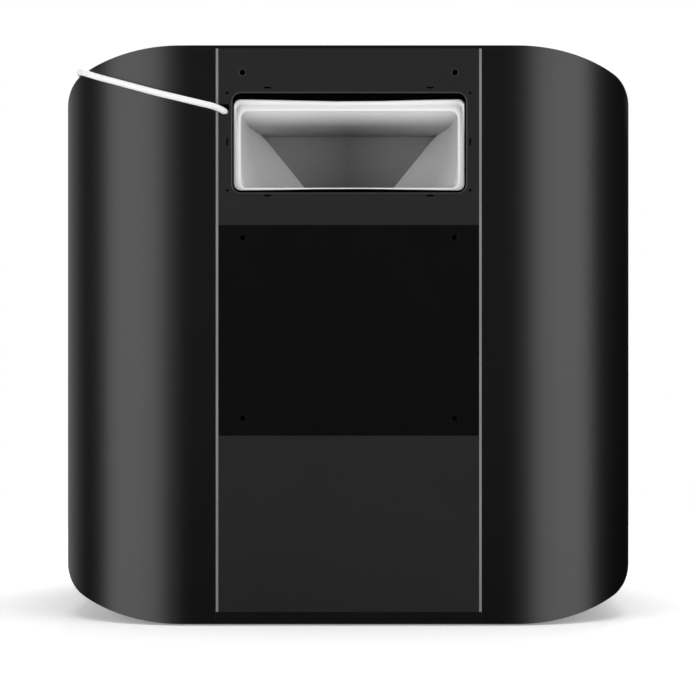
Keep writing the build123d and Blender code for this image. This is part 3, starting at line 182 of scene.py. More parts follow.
def rounded_box(centre, size, radius, steps=6):
    """Box with rounded edges: radius times the unit sphere, plus the sign of each of its
    directions times what is left of half the box."""
    half = np.asarray(size, float) / 2
    radius = min(radius, *(half * 0.98))
    quarter = (np.arange(steps) + 0.5) / steps * np.pi / 2
    round_turn = np.concatenate([quarter + k * np.pi / 2 for k in range(4)])
    lift = np.concatenate([quarter - np.pi / 2, quarter])
    t, p = np.meshgrid(round_turn, lift, indexing="ij")
    ball = np.stack([np.cos(p) * np.cos(t), np.cos(p) * np.sin(t), np.sin(p)], -1)
    points = np.asarray(centre, float) + radius * ball + np.sign(ball) * (half - radius)
    return capped(points.transpose(1, 0, 2))


def rounded_outline(width, height, radius, corner=10):
    """Closed outline of a rounded rectangle round the origin: its points and outward
    normals, four quarter circles one after the other."""
    quarter = np.linspace(0, np.pi / 2, corner)
    turn = np.concatenate([quarter + k * np.pi / 2 for k in range(4)])
    normal = np.stack([np.cos(turn), np.sin(turn)], -1)
    middle = np.repeat([[1, 1], [-1, 1], [-1, -1], [1, -1]], corner, axis=0)
    return middle * (np.array([width, height]) / 2 - radius) + radius * normal, normal


def upright_ring(size, radius, profile, centre, y, corner=8):
    """Ring round a rounded rectangle in an upright plane: each point is the outline's,
    moved out by the profile's first value along the normal and by its second along +Y."""
    outline, normal = rounded_outline(*size, radius, corner)
    out, back = np.asarray(profile, float).T
    flat = outline[:, None, :] + out[None, :, None] * normal[:, None, :]
    points = np.empty(flat.shape[:2] + (3,))
    points[..., 0] = centre[0] + flat[..., 0]
    points[..., 1] = y + back[None, :]
    points[..., 2] = centre[1] + flat[..., 1]
    return shell(points, ring=True, tube=True)


def bead(width, height):
    """Closed profile of a low bead: half an ellipse, width across and height proud, with a
    flat foot behind it."""
    turn = np.linspace(0, np.pi, 9)
    arc = np.stack([np.cos(turn) * width / 2, -np.sin(turn) * height], -1)
    return np.concatenate([arc, [[-width / 2, height], [width / 2, height]]])


def at_tower(angle, radius, tangent, level):
    """Point near a tower: radius outwards from the delta's axis, then along the tangent."""
    turn = np.radians(angle)
    outward = np.array([np.cos(turn), np.sin(turn), 0.0])
    aside = np.array([-np.sin(turn), np.cos(turn), 0.0])
    return np.array([0.0, delta_y, level]) + outward * radius + aside * tangent


def outward_of(angle):
    """Unit vector from the delta's axis to a tower."""
    return at_tower(angle, 1.0, 0.0, 0.0) - np.array([0.0, delta_y, 0.0])


# ------------------------ finishes
def shade(tree, kind, feeds=(), **settings):
    """One shader node: settings are its properties, feeds its inputs, each a value or
    another node's output."""
    made = tree.nodes.new("ShaderNode" + kind)
    for key, value in settings.items():
        setattr(made, key, value)
    for key, value in dict(feeds).items():
        if isinstance(value, bpy.types.NodeSocket):
            tree.links.new(value, made.inputs[key])
        else:
            made.inputs[key].default_value = value
    return made


def grey(level):
    """A neutral colour."""
    return (level, level, level, 1.0)


def maths(tree, kind, *values):
    """Output of one Math node: kind is its operation and values are its inputs."""
    return shade(tree, "Math", dict(enumerate(values)), operation=kind).outputs[0]


def parts_of(tree, vector):
    """The X, Y and Z of a vector, by name."""
    return shade(tree, "SeparateXYZ", {"Vector": vector}).outputs


def dot(tree, first, second):
    """Dot product of two vectors."""
    return shade(tree, "VectorMath", {0: first, 1: second},
                 operation="DOT_PRODUCT").outputs["Value"]


def new_look(name):
    """An empty material: itself, its node tree, its shader and the object coordinates."""
    look = bpy.data.materials.new(name)
    look.use_nodes = True
    tree = look.node_tree
    shader = tree.nodes["Principled BSDF"]
    place = shade(tree, "TexCoord").outputs["Object"]
    return look, tree, shader, place


def grain_of(tree, place, size, stretch=(1.0, 1.0, 1.0), detail=3.0, rough=0.55):
    """Noise with features of size millimetres, drawn out along the axes by stretch."""
    scale = [1.0 / part for part in stretch]
    scaled = shade(tree, "Mapping", {"Vector": place, "Scale": scale}).outputs["Vector"]
    return shade(tree, "TexNoise", {"Vector": scaled, "Scale": 1.0 / (size * MM),
                                    "Detail": detail, "Roughness": rough}).outputs["Fac"]


def between(tree, fac, low, high, start=0.3, end=0.7):
    """Number that goes from low to high as fac goes from start to end."""
    return shade(tree, "MapRange", {"Value": fac, "From Min": start, "From Max": end,
                                    "To Min": low, "To Max": high}).outputs["Result"]


def blended(tree, fac, first, second, kind="MIX"):
    """Colour between two others; kind may name another way to mix them."""
    return shade(tree, "Mix", {0: fac, 6: first, 7: second}, data_type="RGBA",
                 blend_type=kind).outputs[2]


def edge_of(tree, reach):
    """Where a solid has an edge: one minus the cosine between the rounded and true normal."""
    rounded = shade(tree, "Bevel", {"Radius": reach * MM}, samples=4).outputs["Normal"]
    true = shade(tree, "NewGeometry").outputs["Normal"]
    return rounded, between(tree, dot(tree, rounded, true), 0.0, 1.0, 0.99, 0.75)


def finish(name, colour, rough, drift=0.08, drift_size=45.0, grain=0.5, bump=0.02,
           stretch=(1.0, 1.0, 1.0), spread=0.06, edge=0.35, worn=None, metal=0.0, gloss=0.5):
    """Painted, moulded or metal surface. Its colour, one grey level or three parts, drifts
    by the share drift over drift_size millimetres. Its grain has features of grain
    millimetres and stands bump millimetres proud, and its roughness varies by spread with
    it. Edges are rounded by edge millimetres and lighten towards the grey level worn.
    gloss is its specular level."""
    look, tree, shader, place = new_look(name)
    base = np.array(colour) * np.ones(3)
    cloud = grain_of(tree, place, drift_size)
    dark, light = base * (1 - drift), np.minimum(base * (1 + drift), 1.0)
    tint = blended(tree, between(tree, cloud, 0.0, 1.0), (*dark, 1.0), (*light, 1.0))
    fine = grain_of(tree, place, grain, stretch)
    normal = None
    if edge:
        normal, at_edge = edge_of(tree, edge)
        if worn is not None:
            patchy = grain_of(tree, place, 6.0)
            share = maths(tree, "MULTIPLY", at_edge, between(tree, patchy, 0.2, 1.0))
            tint = blended(tree, share, tint, grey(worn))
    dress(tree, shader, tint, between(tree, fine, rough - spread, rough + spread),
          bumped(tree, fine, bump, normal), Metallic=metal, Specular_IOR_Level=gloss)
    return look


def bumped(tree, height, proud, normal=None):
    """Normal of a surface whose height stands proud millimetres out of it."""
    feeds = {"Height": height, "Distance": proud * MM}
    if normal is not None:
        feeds["Normal"] = normal
    return shade(tree, "Bump", feeds).outputs["Normal"]


def dress(tree, shader, tint, rough, normal=None, **sockets):
    """Links the shader's colour, roughness and normal, and sets its other sockets."""
    tree.links.new(tint, shader.inputs["Base Color"])
    tree.links.new(rough, shader.inputs["Roughness"])
    if normal is not None:
        tree.links.new(normal, shader.inputs["Normal"])
    for key, value in sockets.items():
        shader.inputs[key.replace("_", " ")].default_value = value


def ramped(tree, fac, stops):
    """Colour ramp through (place, colour) stops."""
    ramp = shade(tree, "ValToRGB", {"Fac": fac})
    band = ramp.color_ramp
    while len(band.elements) < len(stops):
        band.elements.new(0.5)
    for element, (place, colour) in zip(band.elements, stops):
        element.position = place
        element.color = colour
    return ramp.outputs["Color"]


looks = {
    "shell_black": finish("satin_black_shell", 0.0017, 0.35, grain=0.9, bump=0.0015,
                          spread=0.02, drift=0.12, edge=0.15, gloss=0.69),
    "panel_grey": finish("dark_grey_panel", (0.0150, 0.0152, 0.0158), 0.5, grain=0.35,
                         bump=0.004, spread=0.04, drift=0.05, drift_size=70.0, edge=0.25,
                         worn=0.04, gloss=0.2),
    "cover_black": finish("matt_black_cover", 0.0016, 0.55, grain=0.35, bump=0.004,
                          spread=0.04, drift=0.1, edge=0.25, worn=0.012, gloss=0.12),
    "trim_grey": finish("satin_silver_trim", (0.2, 0.2, 0.204), 0.4, grain=0.6, bump=0.002,
                        stretch=(1, 1, 30), edge=0.2, gloss=0.3),
    "black_plastic": finish("black_moulding", 0.012, 0.5, grain=0.3, bump=0.01, worn=0.03,
                            gloss=0.35),
    "grey_plastic": finish("grey_moulding", (0.2, 0.2, 0.207), 0.45, grain=0.3, bump=0.008,
                           worn=0.3, gloss=0.4),
    "steel": finish("zinc_plated_steel", (0.5, 0.5, 0.52), 0.36, drift=0.12, drift_size=14.0,
                    grain=1.2, bump=0.002, spread=0.09, metal=1.0),
    "bright_steel": finish("ground_rail_steel", (0.66, 0.66, 0.68), 0.2, grain=0.25,
                           bump=0.001, stretch=(1, 1, 60), spread=0.07, metal=1.0),
    "aluminium": finish("brushed_aluminium", (0.7, 0.705, 0.72), 0.32, grain=0.3, bump=0.002,
                        stretch=(1, 1, 45), spread=0.1, drift=0.05, metal=1.0),
    "dark_aluminium": finish("black_anodised", (0.05, 0.05, 0.054), 0.38, grain=0.25,
                             bump=0.003, worn=0.35, metal=1.0),
    "motor_black": finish("motor_enamel", 0.018, 0.35, grain=0.9, bump=0.006,
                          stretch=(4, 4, 1), worn=0.06),
    "rubber": finish("black_rubber", 0.014, 0.7, grain=0.5, bump=0.015, worn=0.03, gloss=0.25),
    "brass": finish("turned_brass", (0.72, 0.5, 0.2), 0.28, drift=0.12, drift_size=5.0,
                    grain=0.25, bump=0.003, stretch=(6, 6, 1), metal=1.0),
    "carbon": finish("plain_carbon", 0.02, 0.3, grain=0.8, bump=0.004, edge=0.0),
}


def duct_white_painted_shade():
    """Glossy white moulding with painted shade: it greys with depth, by two ramps along Y from
    the rim to the back wall, which stand for the shade inside the duct: one for faces along X
    or Z, which lightens away from the middle, and one for the slanting flanks, which the
    normal's X picks out and which lightens again towards the back as painted light on the
    faces turned aside."""
    look, tree, shader, place = new_look("white_duct_painted_shade")
    split = parts_of(tree, place)
    # painted shade: darker with depth into the duct, lighter away from the middle and on the
    # slanting flanks
    depth = between(tree, split["Y"], 0.0, 1.0, duct_face * MM, (duct_wall - 0.4) * MM)
    painted_depth_shade = ramped(tree, depth, [(0.0, grey(0.88)), (0.06, grey(0.88)), (0.22, grey(0.6)),
                                (0.45, grey(0.24)), (0.8, grey(0.15)), (1.0, grey(0.12))])
    flank = ramped(tree, depth, [(0.0, grey(0.88)), (0.1, grey(0.47)), (0.4, grey(0.45)),
                                 (1.0, grey(0.66))])
    facing = parts_of(tree, shade(tree, "NewGeometry").outputs["Normal"])
    slant = maths(tree, "ABSOLUTE", facing["X"])
    aside = maths(tree, "ABSOLUTE", split["X"])
    spread = between(tree, aside, 0.0, 0.16, 0.0, 0.05)
    painted_depth_shade = blended(tree, spread, painted_depth_shade, grey(1.0))
    tone = blended(tree, between(tree, slant, 0.0, 1.0, 0.1, 0.3), painted_depth_shade, flank)
    fine = grain_of(tree, place, 0.5)
    cloud = between(tree, grain_of(tree, place, 30.0), 0.0, 1.0)
    dusty = blended(tree, cloud, grey(0.93), grey(1.0))
    tint = blended(tree, 1.0, tone, dusty, "MULTIPLY")
    normal, _ = edge_of(tree, 0.4)
    dress(tree, shader, tint, between(tree, fine, 0.3, 0.38),
          bumped(tree, fine, 0.004, normal))
    return look


def tube_white():
    """Milky fluoropolymer tube: light scatters a millimetre into it."""
    look, tree, shader, place = new_look("milky_tube")
    cloud = between(tree, grain_of(tree, place, 9.0), 0.0, 1.0)
    tint = blended(tree, cloud, (0.82, 0.825, 0.83, 1.0), (0.86, 0.86, 0.86, 1.0))
    fine = grain_of(tree, place, 0.8)
    dress(tree, shader, tint, between(tree, fine, 0.34, 0.44), bumped(tree, fine, 0.004),
          Subsurface_Weight=0.3, Subsurface_Radius=(0.001,) * 3, Subsurface_Scale=1.0)
    return look


def smoked_glass():
    """Lightly smoked door glass: a dark gloss, with faint smears, that covers a quarter of
    what lies behind it."""
    look, tree, shader, place = new_look("smoked_door_glass")
    smear = grain_of(tree, place, 25.0, (1.0, 1.0, 2.5))
    tint = blended(tree, between(tree, smear, 0.0, 1.0), (0.010, 0.0105, 0.011, 1.0),
                   (0.016, 0.0165, 0.017, 1.0))
    dress(tree, shader, tint, between(tree, smear, 0.015, 0.05), Alpha=0.24,
          Specular_IOR_Level=0.8)
    return look


def printed_board():
    """Green solder mask with copper tracks: thin bands of two crossed square waves that a
    coarse noise switches between, and tinned dots where both are high."""
    look, tree, shader, place = new_look("printed_board")
    split = parts_of(tree, place)
    waves = []
    for axis in ("X", "Z"):
        run = maths(tree, "MULTIPLY", split[axis], TAU / (2.4 * MM))
        waves.append(maths(tree, "SINE", run))
    choice = between(tree, grain_of(tree, place, 12.0), 0.0, 1.0, 0.49, 0.51)
    track = shade(tree, "Mix", {0: choice, 2: waves[0], 3: waves[1]},
                  data_type="FLOAT").outputs[0]
    tint = ramped(tree, between(tree, track, 0.0, 1.0, -1.0, 1.0),
                  [(0.0, (0.004, 0.05, 0.02, 1)), (0.7, (0.005, 0.06, 0.025, 1)),
                   (0.78, (0.02, 0.16, 0.06, 1)), (1.0, (0.02, 0.18, 0.07, 1))])
    dress(tree, shader, tint, between(tree, track, 0.3, 0.45), bumped(tree, track, 0.03))
    return look


def bronze_sheet():
    """Textured spring-steel build sheet: bronze with bright and dark flecks."""
    look, tree, shader, place = new_look("textured_bronze_sheet")
    cell = shade(tree, "TexVoronoi", {"Vector": place, "Scale": 1.0 / (0.9 * MM)})
    fleck = shade(tree, "SeparateColor", {"Color": cell.outputs["Color"]}).outputs["Red"]
    tint = ramped(tree, fleck, [(0.0, (0.10, 0.055, 0.015, 1)), (0.6, (0.2, 0.12, 0.035, 1)),
                                (0.9, (0.33, 0.21, 0.07, 1)), (1.0, (0.6, 0.45, 0.2, 1))])
    height = grain_of(tree, place, 0.7)
    normal, _ = edge_of(tree, 0.3)
    dress(tree, shader, tint, between(tree, fleck, 0.5, 0.3, 0.0, 1.0),
          bumped(tree, height, 0.05, normal), Metallic=0.6)
    return look


def carbon_weave():
    """Wrapped carbon tube: diagonal bands of fibre, the sine of height plus turn, that
    shift in tone and stand a little proud under clear resin."""
    look, tree, shader, place = new_look("carbon_weave")
    wave = shade(tree, "TexWave", {"Vector": place, "Scale": 1.0 / (2.2 * MM) / TAU,
                                   "Distortion": 0.6, "Detail": 1.0},
                 bands_direction="DIAGONAL").outputs["Fac"]
    tint = ramped(tree, wave, [(0.0, grey(0.006)), (0.5, grey(0.014)), (1.0, grey(0.045))])
    dress(tree, shader, tint, between(tree, wave, 0.28, 0.4), bumped(tree, wave, 0.03),
          Coat_Weight=0.5, Coat_Roughness=0.08)
    return look


def lit_display():
    """Dark glass over a lit panel: four level bars of different length, as a menu without
    words, worked out from Object X and Z in a window 44 by 20 mm."""
    look, tree, shader, place = new_look("lit_display")
    split = parts_of(tree, place)
    x, z = split["X"], split["Z"]

    def within(value, low, high):
        """One inside a band and nought outside it."""
        middle, half = (low + high) / 2 * MM, (high - low) / 2 * MM
        off = maths(tree, "ABSOLUTE", maths(tree, "SUBTRACT", value, middle))
        return maths(tree, "LESS_THAN", off, half)

    def oblong(left, right, bottom, top):
        """One inside an upright oblong and nought outside it."""
        return maths(tree, "MULTIPLY", within(x, left, right), within(z, bottom, top))

    bars = None
    for level, length in ((38.5, 30.0), (34.0, 38.0), (29.5, 22.0), (25.0, 34.0)):
        bar = oblong(22.0 - length, 22.0, level - 0.9, level + 0.9)
        bars = bar if bars is None else maths(tree, "MAXIMUM", bars, bar)
    panel = oblong(-25.0, 25.0, fascia_level - 11.5, fascia_level + 11.5)
    glow = blended(tree, bars, (0.01, 0.03, 0.06, 1), (0.35, 0.7, 0.85, 1))
    lit = blended(tree, panel, grey(0.0), glow)
    fine = grain_of(tree, place, 8.0)
    tree.links.new(lit, shader.inputs["Emission Color"])
    dress(tree, shader, blended(tree, panel, grey(0.004), (0.006, 0.012, 0.02, 1)),
          between(tree, fine, 0.06, 0.12), Emission_Strength=0.6)
    return look


looks["white_plastic"] = duct_white_painted_shade()
looks["tube_white"] = tube_white()
looks["smoked_glass"] = smoked_glass()
looks["board_green"] = printed_board()
looks["sheet_bronze"] = bronze_sheet()
looks["display"] = lit_display()
weave = carbon_weave()
pointer_white = finish("painted_mark", 0.75, 0.5, grain=0.3, bump=0.003, edge=0.0)
# lighter than the panel grey: painted highlight on the window's edge
edge_highlight_grey = finish("pressed_edge_highlight", (0.04, 0.04, 0.041), 0.42, grain=0.4, bump=0.003, edge=0.0,
                   gloss=0.3)
# lighter than the panel grey: painted highlight on the bracket holes' edges
hole_highlight_grey = finish("hole_rim_painted_highlight", 0.035, 0.4, grain=0.3, bump=0.003, edge=0.0, gloss=0.4)
# near-black with almost no gloss: painted shade, for holes, gaps and openings and the parts
# set in them
painted_shade_black = finish("painted_shade_bore", 0.0006, 0.7, grain=0.5, bump=0.003, edge=0.0, gloss=0.03)
screw_black = finish("black_oxide_screw", 0.0055, 0.42, grain=0.3, bump=0.004, edge=0.15,
                     worn=0.03, gloss=0.25)
duct_gloss = finish("white_rim", 0.86, 0.3, drift=0.02, grain=0.6, bump=0.002, edge=0.0)

# a lighter copy of the dark grey panel for the deck and partition: painted light inside the
# dim chamber
chamber_painted_light_grey = finish("chamber_sheet_painted_light_grey", (0.075, 0.076, 0.078), 0.5, grain=0.35, bump=0.006,
                     edge=0.25, worn=0.12, gloss=0.3)
matt_shell = finish("matt_black_cover_and_pan", 0.0045, 0.46, grain=0.6, bump=0.004,
                    spread=0.04, drift=0.12, edge=0.0, gloss=0.16)
own_looks = {"top_cover": matt_shell, "base_pan": matt_shell, "bay_partition": chamber_painted_light_grey,
             "deck_plate": chamber_painted_light_grey}
for entry in frame["record"]["subparts"]:
    solid = nodes[entry["node"]]
    look = own_looks.get(entry["node"], looks[entry["material_slot"]])
    for place in solid.material_slots:
        place.material = look


# ------------------------ tubes
guide_points = [
    (-72.5, -161.6, 314.1), (-75.9, -171.2, 316.3), (-82.4, -176.6, 319.1),
    (-90.3, -178.3, 320.7), (-103.0, -176.9, 323.9),
    (-118.9, -173.0, 327.9), (-140.4, -164.1, 334.4), (-158.2, -151.0, 340.0),
    (-168.4, -137.8, 344.3), (-170.6, -117.0, 345.0), (-171.2, -75.0, 344.6),
    (-173.5, -22.0, 344.0), (-177.5, 32.0, 340.5), (-183.5, 74.0, 328.5),
    (-184.5, 98.0, 300.0), (-180.5, 107.0, 242.0), (-179.5, 110.0, 183.0),
    (-181.0, 108.5, 124.0), (-180.5, 111.0, 66.0), (-185.5, 120.0, 23.0),
    (-190.5, 135.0, 8.0), (-192.3, 148.5, 4.0)]
bowden_points = [
    (-71.0, -116.0, 313.2), (-69.0, -84.0, 317.5), (-47.0, -34.0, 321.0),
    (-9.0, 10.0, 308.0), (0.0, 29.0, 262.0), (0.0, 29.0, 213.3)]
coil_middle = np.array([-166.0, 166.0])
coil_start = np.radians(203.0)
coil_turns = 2.9
tube_radius = 2.0


def coil_points():
    """Turns of the coil, twenty points each: the angle falls evenly, the radius steps from
    the outer lay to the inner one and back, and the height from the lower lay to the upper."""
    share = np.arange(1, int(coil_turns * 20) + 1) / 20
    radius = np.interp(share, [0, 0.6, 0.95, 2.1, 2.35, 3], [26.2, 26.2, 22, 22, 26.2, 26.2])
    height = np.interp(share, [0, 0.08, 1.35, 1.6, 3], [3.0, 2.05, 2.05, 6.25, 6.25])
    turn = coil_start - share * TAU
    return np.stack([coil_middle[0] + radius * np.cos(turn),
                     coil_middle[1] + radius * np.sin(turn), height], -1)


def nurbs(name, points):
    """Curve of one smooth spline whose control points are given in millimetres."""
    line = bpy.data.curves.new(name, "CURVE")
    line.dimensions = "3D"
    spline = line.splines.new("NURBS")
    spline.points.add(len(points) - 1)
    weighted = np.concatenate([np.asarray(points) * MM, np.ones((len(points), 1))], axis=1)
    spline.points.foreach_set("co", weighted.ravel())
    spline.order_u = 3
    spline.use_endpoint_u = True
    line.resolution_u = 10
    return added(name, line)


guide = nurbs("guide_tube", np.concatenate([guide_points, coil_points()]))
guide.data.bevel_depth = tube_radius * MM
guide.data.bevel_resolution = 5
guide.data.use_fill_caps = True
guide.data.materials.append(looks["tube_white"])
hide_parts("filament_tube", "tube_coil")
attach(guide, "casing")


def sampled(points):
    """The smooth line of a route, as the spline gives it."""
    probe = nurbs("probe", points)
    mesh = bpy.data.meshes.new_from_object(probe)
    line = np.array([corner.co[:] for corner in mesh.vertices]) / MM
    bpy.data.objects.remove(probe)
    bpy.data.meshes.remove(mesh)
    return line


def tube_along(line, radius, steps=20):
    """Circle of that radius carried along a line, square to it."""
    along = np.gradient(line, axis=0)
    along /= np.linalg.norm(along, axis=1, keepdims=True)
    across = np.cross(along, np.array([0.93, 0.31, 0.2]))
    across /= np.linalg.norm(across, axis=1, keepdims=True)
    up = np.cross(along, across)
    turn = np.arange(steps) * TAU / steps
    return capped(line[:, None] + radius * (np.cos(turn)[None, :, None] * across[:, None]
                                            + np.sin(turn)[None, :, None] * up[:, None]))


feed_line = sampled(bowden_points)
bowden = piece("feed_tube", [tube_along(feed_line, tube_radius)], None, "tube_white")
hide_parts("bowden_tube")
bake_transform(bowden)


# ------------------------ rear panels
edge_profile = np.array([[0.6, 0.06], [0.4, -0.1], [0.12, -0.22], [-0.08, -0.24],
                         [-0.12, -0.18], [-0.12, 1.9], [0.1, 1.9], [0.1, 0.5], [0.5, 0.3]])
window_shift = np.array([0.3, 0.0])
# the window's pressed edge, in a grey lighter than the panel's: painted highlight along the
# window's rim, besides the light that the bead's shape catches
piece("window_edge", [upright_ring(window_size, window_radius, edge_profile,
                                   window_centre + window_shift, rear_face, 10)],
      "casing", "panel_grey", edge_highlight_grey)
# lips round the bracket holes, lighter than the panel: painted highlight on the holes' edges
lip_profile = [[0.48, 0.04], [0.34, -0.1], [0.2, -0.14], [0.1, -0.06], [0.1, 0.9], [0.25, 0.9],
               [0.4, 0.3]]
bracket_holes = [(side * bracket_hole[0], bracket_hole[1]) for side in (-1, 1)]
piece("panel_hole_lips", [upright_ring((3.62, 3.62), 1.8, lip_profile, place, rear_face)
                          for place in bracket_holes], "casing", "panel_grey", hole_highlight_grey)
# foam seal round the duct, in the near-black painted shade that darkens the gap beside the
# duct's lugs
foam = [[-0.75, 2.1], [1.6, 2.1], [1.6, 5.7], [-0.75, 5.7], [-0.85, 3.9]]
piece("duct_foam_seal", [upright_ring(window_size, window_radius, foam, window_centre,
                                      rear_face, 10)], "casing", "rubber", painted_shade_black)

# near-black blocks behind the bracket and grille-screw holes: painted shade inside the holes
hole_shade_y = -169.4
hole_shade_blocks = [rounded_box((x, hole_shade_y, z), (4.6, 0.5, 4.6), 0.2) for x, z in bracket_holes]
hole_shade_blocks += [rounded_box((side * grille_screw[0], hole_shade_y,
                         grille_level + rise * grille_screw[1]), (3, 0.5, 3), 0.2)
            for side in (-1, 1) for rise in (-1, 1)]
piece("hole_shades", hole_shade_blocks, "casing", "black_plastic", painted_shade_black)


rim_size = (143.0, 56.4, 4.2)
mouth_size = (134.4, 47.4, 4.5)
rim_middle = (0.4, 296.1)
mouth_middle = (0.4, 293.1)


def duct_outlines():
    """Outer and inner outline of the duct's rim and the window's, with as many points each,
    and the share of each point that lies on the top. The long edges of the outer one bow
    inwards by a squared cosine."""
    outlines = []
    for width, height, radius in (rim_size, mouth_size, (*window_size, window_radius)):
        line, _ = rounded_outline(width, height, radius, 14)
        dense = np.linspace(0, len(line), 260, endpoint=False)
        closed = np.concatenate([line, line[:1]])
        outlines.append(np.stack([np.interp(dense, np.arange(len(closed)), closed[:, k])
                                  for k in (0, 1)], -1))
    outer, inner, window = outlines
    on_top = np.clip((outer[:, 1] - 21) / 5, 0, 1)
    bow = np.cos(np.clip(outer[:, 0] / (rim_size[0] / 2), -1, 1) * np.pi / 2) ** 2
    outer[:, 1] += bow * np.where(outer[:, 1] > 0, -1.3, 1.0) * (np.abs(outer[:, 1]) > 26)
    return outer + rim_middle, inner + mouth_middle, window + window_centre, on_top


def in_depth(flat, depth):
    """Points of an upright plane, each moved to its depth along Y."""
    return np.stack([flat[..., 0], np.broadcast_to(depth, flat.shape[:2]), flat[..., 1]], -1)


def spanned(first, second, share, depth):
    """Closed band between two outlines of as many points: each point lies at its share of
    the way from the first to the second, at its depth along Y."""
    share = share[None, :, None]
    flat = first[:, None] * (1 - share) + second[:, None] * share
    return shell(in_depth(flat, depth), ring=True, tube=True)


def duct_lip():
    """Rolled rim of the duct: each point lies between the rim's outer outline and the
    mouth's inner one, by a share across, and stands proud by one broad crest, which along
    the top parts into two with a valley between them."""
    outer, inner, _, on_top = duct_outlines()
    share = np.array([0.0, 0.0, 0.04, 0.09, 0.14, 0.22, 0.31, 0.4, 0.48, 0.58, 0.72, 0.86,
                      0.96, 1.01, 1.03, 1.0, 0.9, 0.2])
    parted = np.array([-1.2, 0.5, 0.95, 1.2, 1.15, 0.65, 0.15, 0.1, 0.4, 0.85, 1.15, 1.35,
                       1.25, 0.7, -1.6, -2.2, -0.3, -0.3])
    single = np.array([-1.2, 0.5, 0.85, 1.05, 1.15, 1.2, 1.25, 1.3, 1.3, 1.3, 1.25, 1.2,
                       1.05, 0.6, -1.6, -2.2, -0.3, -0.3])
    proud = on_top[:, None] * parted + (1 - on_top[:, None]) * single
    return spanned(outer, inner, share, duct_face - proud)


def duct_gap():
    """Painted shade between the duct's rim and the window: a near-black flat ring from the
    rim's outer outline to a millimetre past the window's."""
    outer, _, window, _ = duct_outlines()
    return spanned(outer, window, np.array([-0.1, 1.15, 1.15, -0.1]),
                   duct_face + np.array([-0.4, -0.4, 0.1, 0.1]))


piece("duct_rolled_rim", [duct_lip()], "casing", "white_plastic", duct_gloss, crease=60)
piece("duct_gap_filler", [duct_gap()], "casing", "rubber", painted_shade_black)


def duct_flank(side):
    """One slanting side of the duct: a ruled surface from the rim's upright inner edge to a
    curve that comes down the ceiling and crosses the back wall towards the throat, closed
    behind by the same surface moved aside and down into the moulding."""
    near = np.array([[67.6, -163.5, 318.5], [67.6, -163.5, 309.0], [67.6, -163.5, 300.0],
                     [67.6, -163.5, 290.0], [67.4, -163.5, 280.0], [67.0, -163.5, 272.0],
                     [66.4, -163.0, 265.0]])
    far = np.array([[66.0, -156.0, 314.0], [62.0, -142.5, 308.6], [56.1, -128.3, 305.6],
                    [49.4, duct_wall, 298.2], [39.9, duct_wall, 286.7],
                    [28.5, duct_wall, 272.7], [23.3, duct_wall, 265.6]])
    place, fine = np.linspace(0, 1, 7), np.linspace(0, 1, 49)

    def smooth(knots):
        """Curve through the knots: straight runs, rounded by a running mean."""
        dense = np.stack([np.interp(fine, place, knots[:, k]) for k in range(3)], -1)
        for _ in range(6):
            dense[1:-1] = (dense[:-2] + 2 * dense[1:-1] + dense[2:]) / 4
        return dense

    near, far = smooth(near), smooth(far)
    share = np.linspace(0, 1, 15)[None, :, None]
    front = near[:, None] * (1 - share) + far[:, None] * share
    thickness = (1.4, 0.0, -1.0)
    points = np.concatenate([front, (front + thickness)[:, ::-1]], axis=1)
    middle = 0.3 if side > 0 else 0.7
    points[..., 0] = middle + side * points[..., 0]
    return capped(points)


piece("duct_flanks", [duct_flank(side) for side in (-1, 1)], "casing", "white_plastic",
      crease=50)


def socket_screw(centre, direction, head, height, socket, shank=0.0, reach=0.0):
    """Button head with a hexagon socket: a turned dome, whose rows inside the socket follow
    a hexagon, and a shank behind it."""
    def lobes(turn, row):
        """Hexagon for the socket's rows and circle for the others."""
        hexagon = 1 / np.cos((turn % (np.pi / 3)) - np.pi / 6)
        return np.where(row < 4, hexagon, 1.0)
    rows = [(0.0, height * 0.15), (socket * 0.6, height * 0.15), (socket, height * 0.2),
            (socket, height * 0.92), (socket * 1.25, height), (head * 0.75, height * 0.9),
            (head * 0.93, height * 0.6), (head, height * 0.25), (head, 0.0)]
    rows += [(shank, 0.0), (shank, -reach), (0.0, -reach)] if shank else [(0.0, 0.0)]
    return lathe(rows, centre, direction, 36, lobes)


cover_screw_places = [(side * cover_screw_x, level) for side in (-1, 1)
                      for level in cover_screw_levels]
# screw heads in the near-black painted shade, darker than their black oxide
piece("cover_button_screws",
      [socket_screw((x, rear_face + 1.4, z), (0, -1, 0), 1.5, 1.2, 0.9, 0.9, 6.0)
       for x, z in cover_screw_places], "casing", "cover_black", painted_shade_black,
      stands_for=["cover_screws"])
seat_profile = [[0.15, 0.05], [0.06, -0.08], [-0.08, -0.06], [-0.12, 0.2], [-0.12, 1.2],
                [0.1, 1.2]]
piece("cover_screw_seats",
      [upright_ring((3.9, 3.9), 1.94, seat_profile, place, rear_face, 12)
       for place in cover_screw_places], "casing", "cover_black", screw_black)

# the feeder's fitting behind the square entry, and a grommet round the entry, both in the
# near-black painted shade of the opening
piece("entry_fitting_collar",
      [lathe([(0, -5.6), (2.6, -5.6), (2.9, -5.2), (2.9, -3.2), (3.4, -3.0), (3.4, -0.6),
              (3.1, -0.2), (2.1, -0.2), (2.05, -0.4), (2.05, -5.0), (0, -5.0)],
             guide_points[0], np.subtract(guide_points[1], guide_points[0]), 40)],
      "casing", "black_plastic", painted_shade_black)
piece("entry_grommet", [rounded_box((-76.6, -165.6, 317.4), (11.0, 1.2, 11.0), 0.5)],
      "casing", "rubber", painted_shade_black)


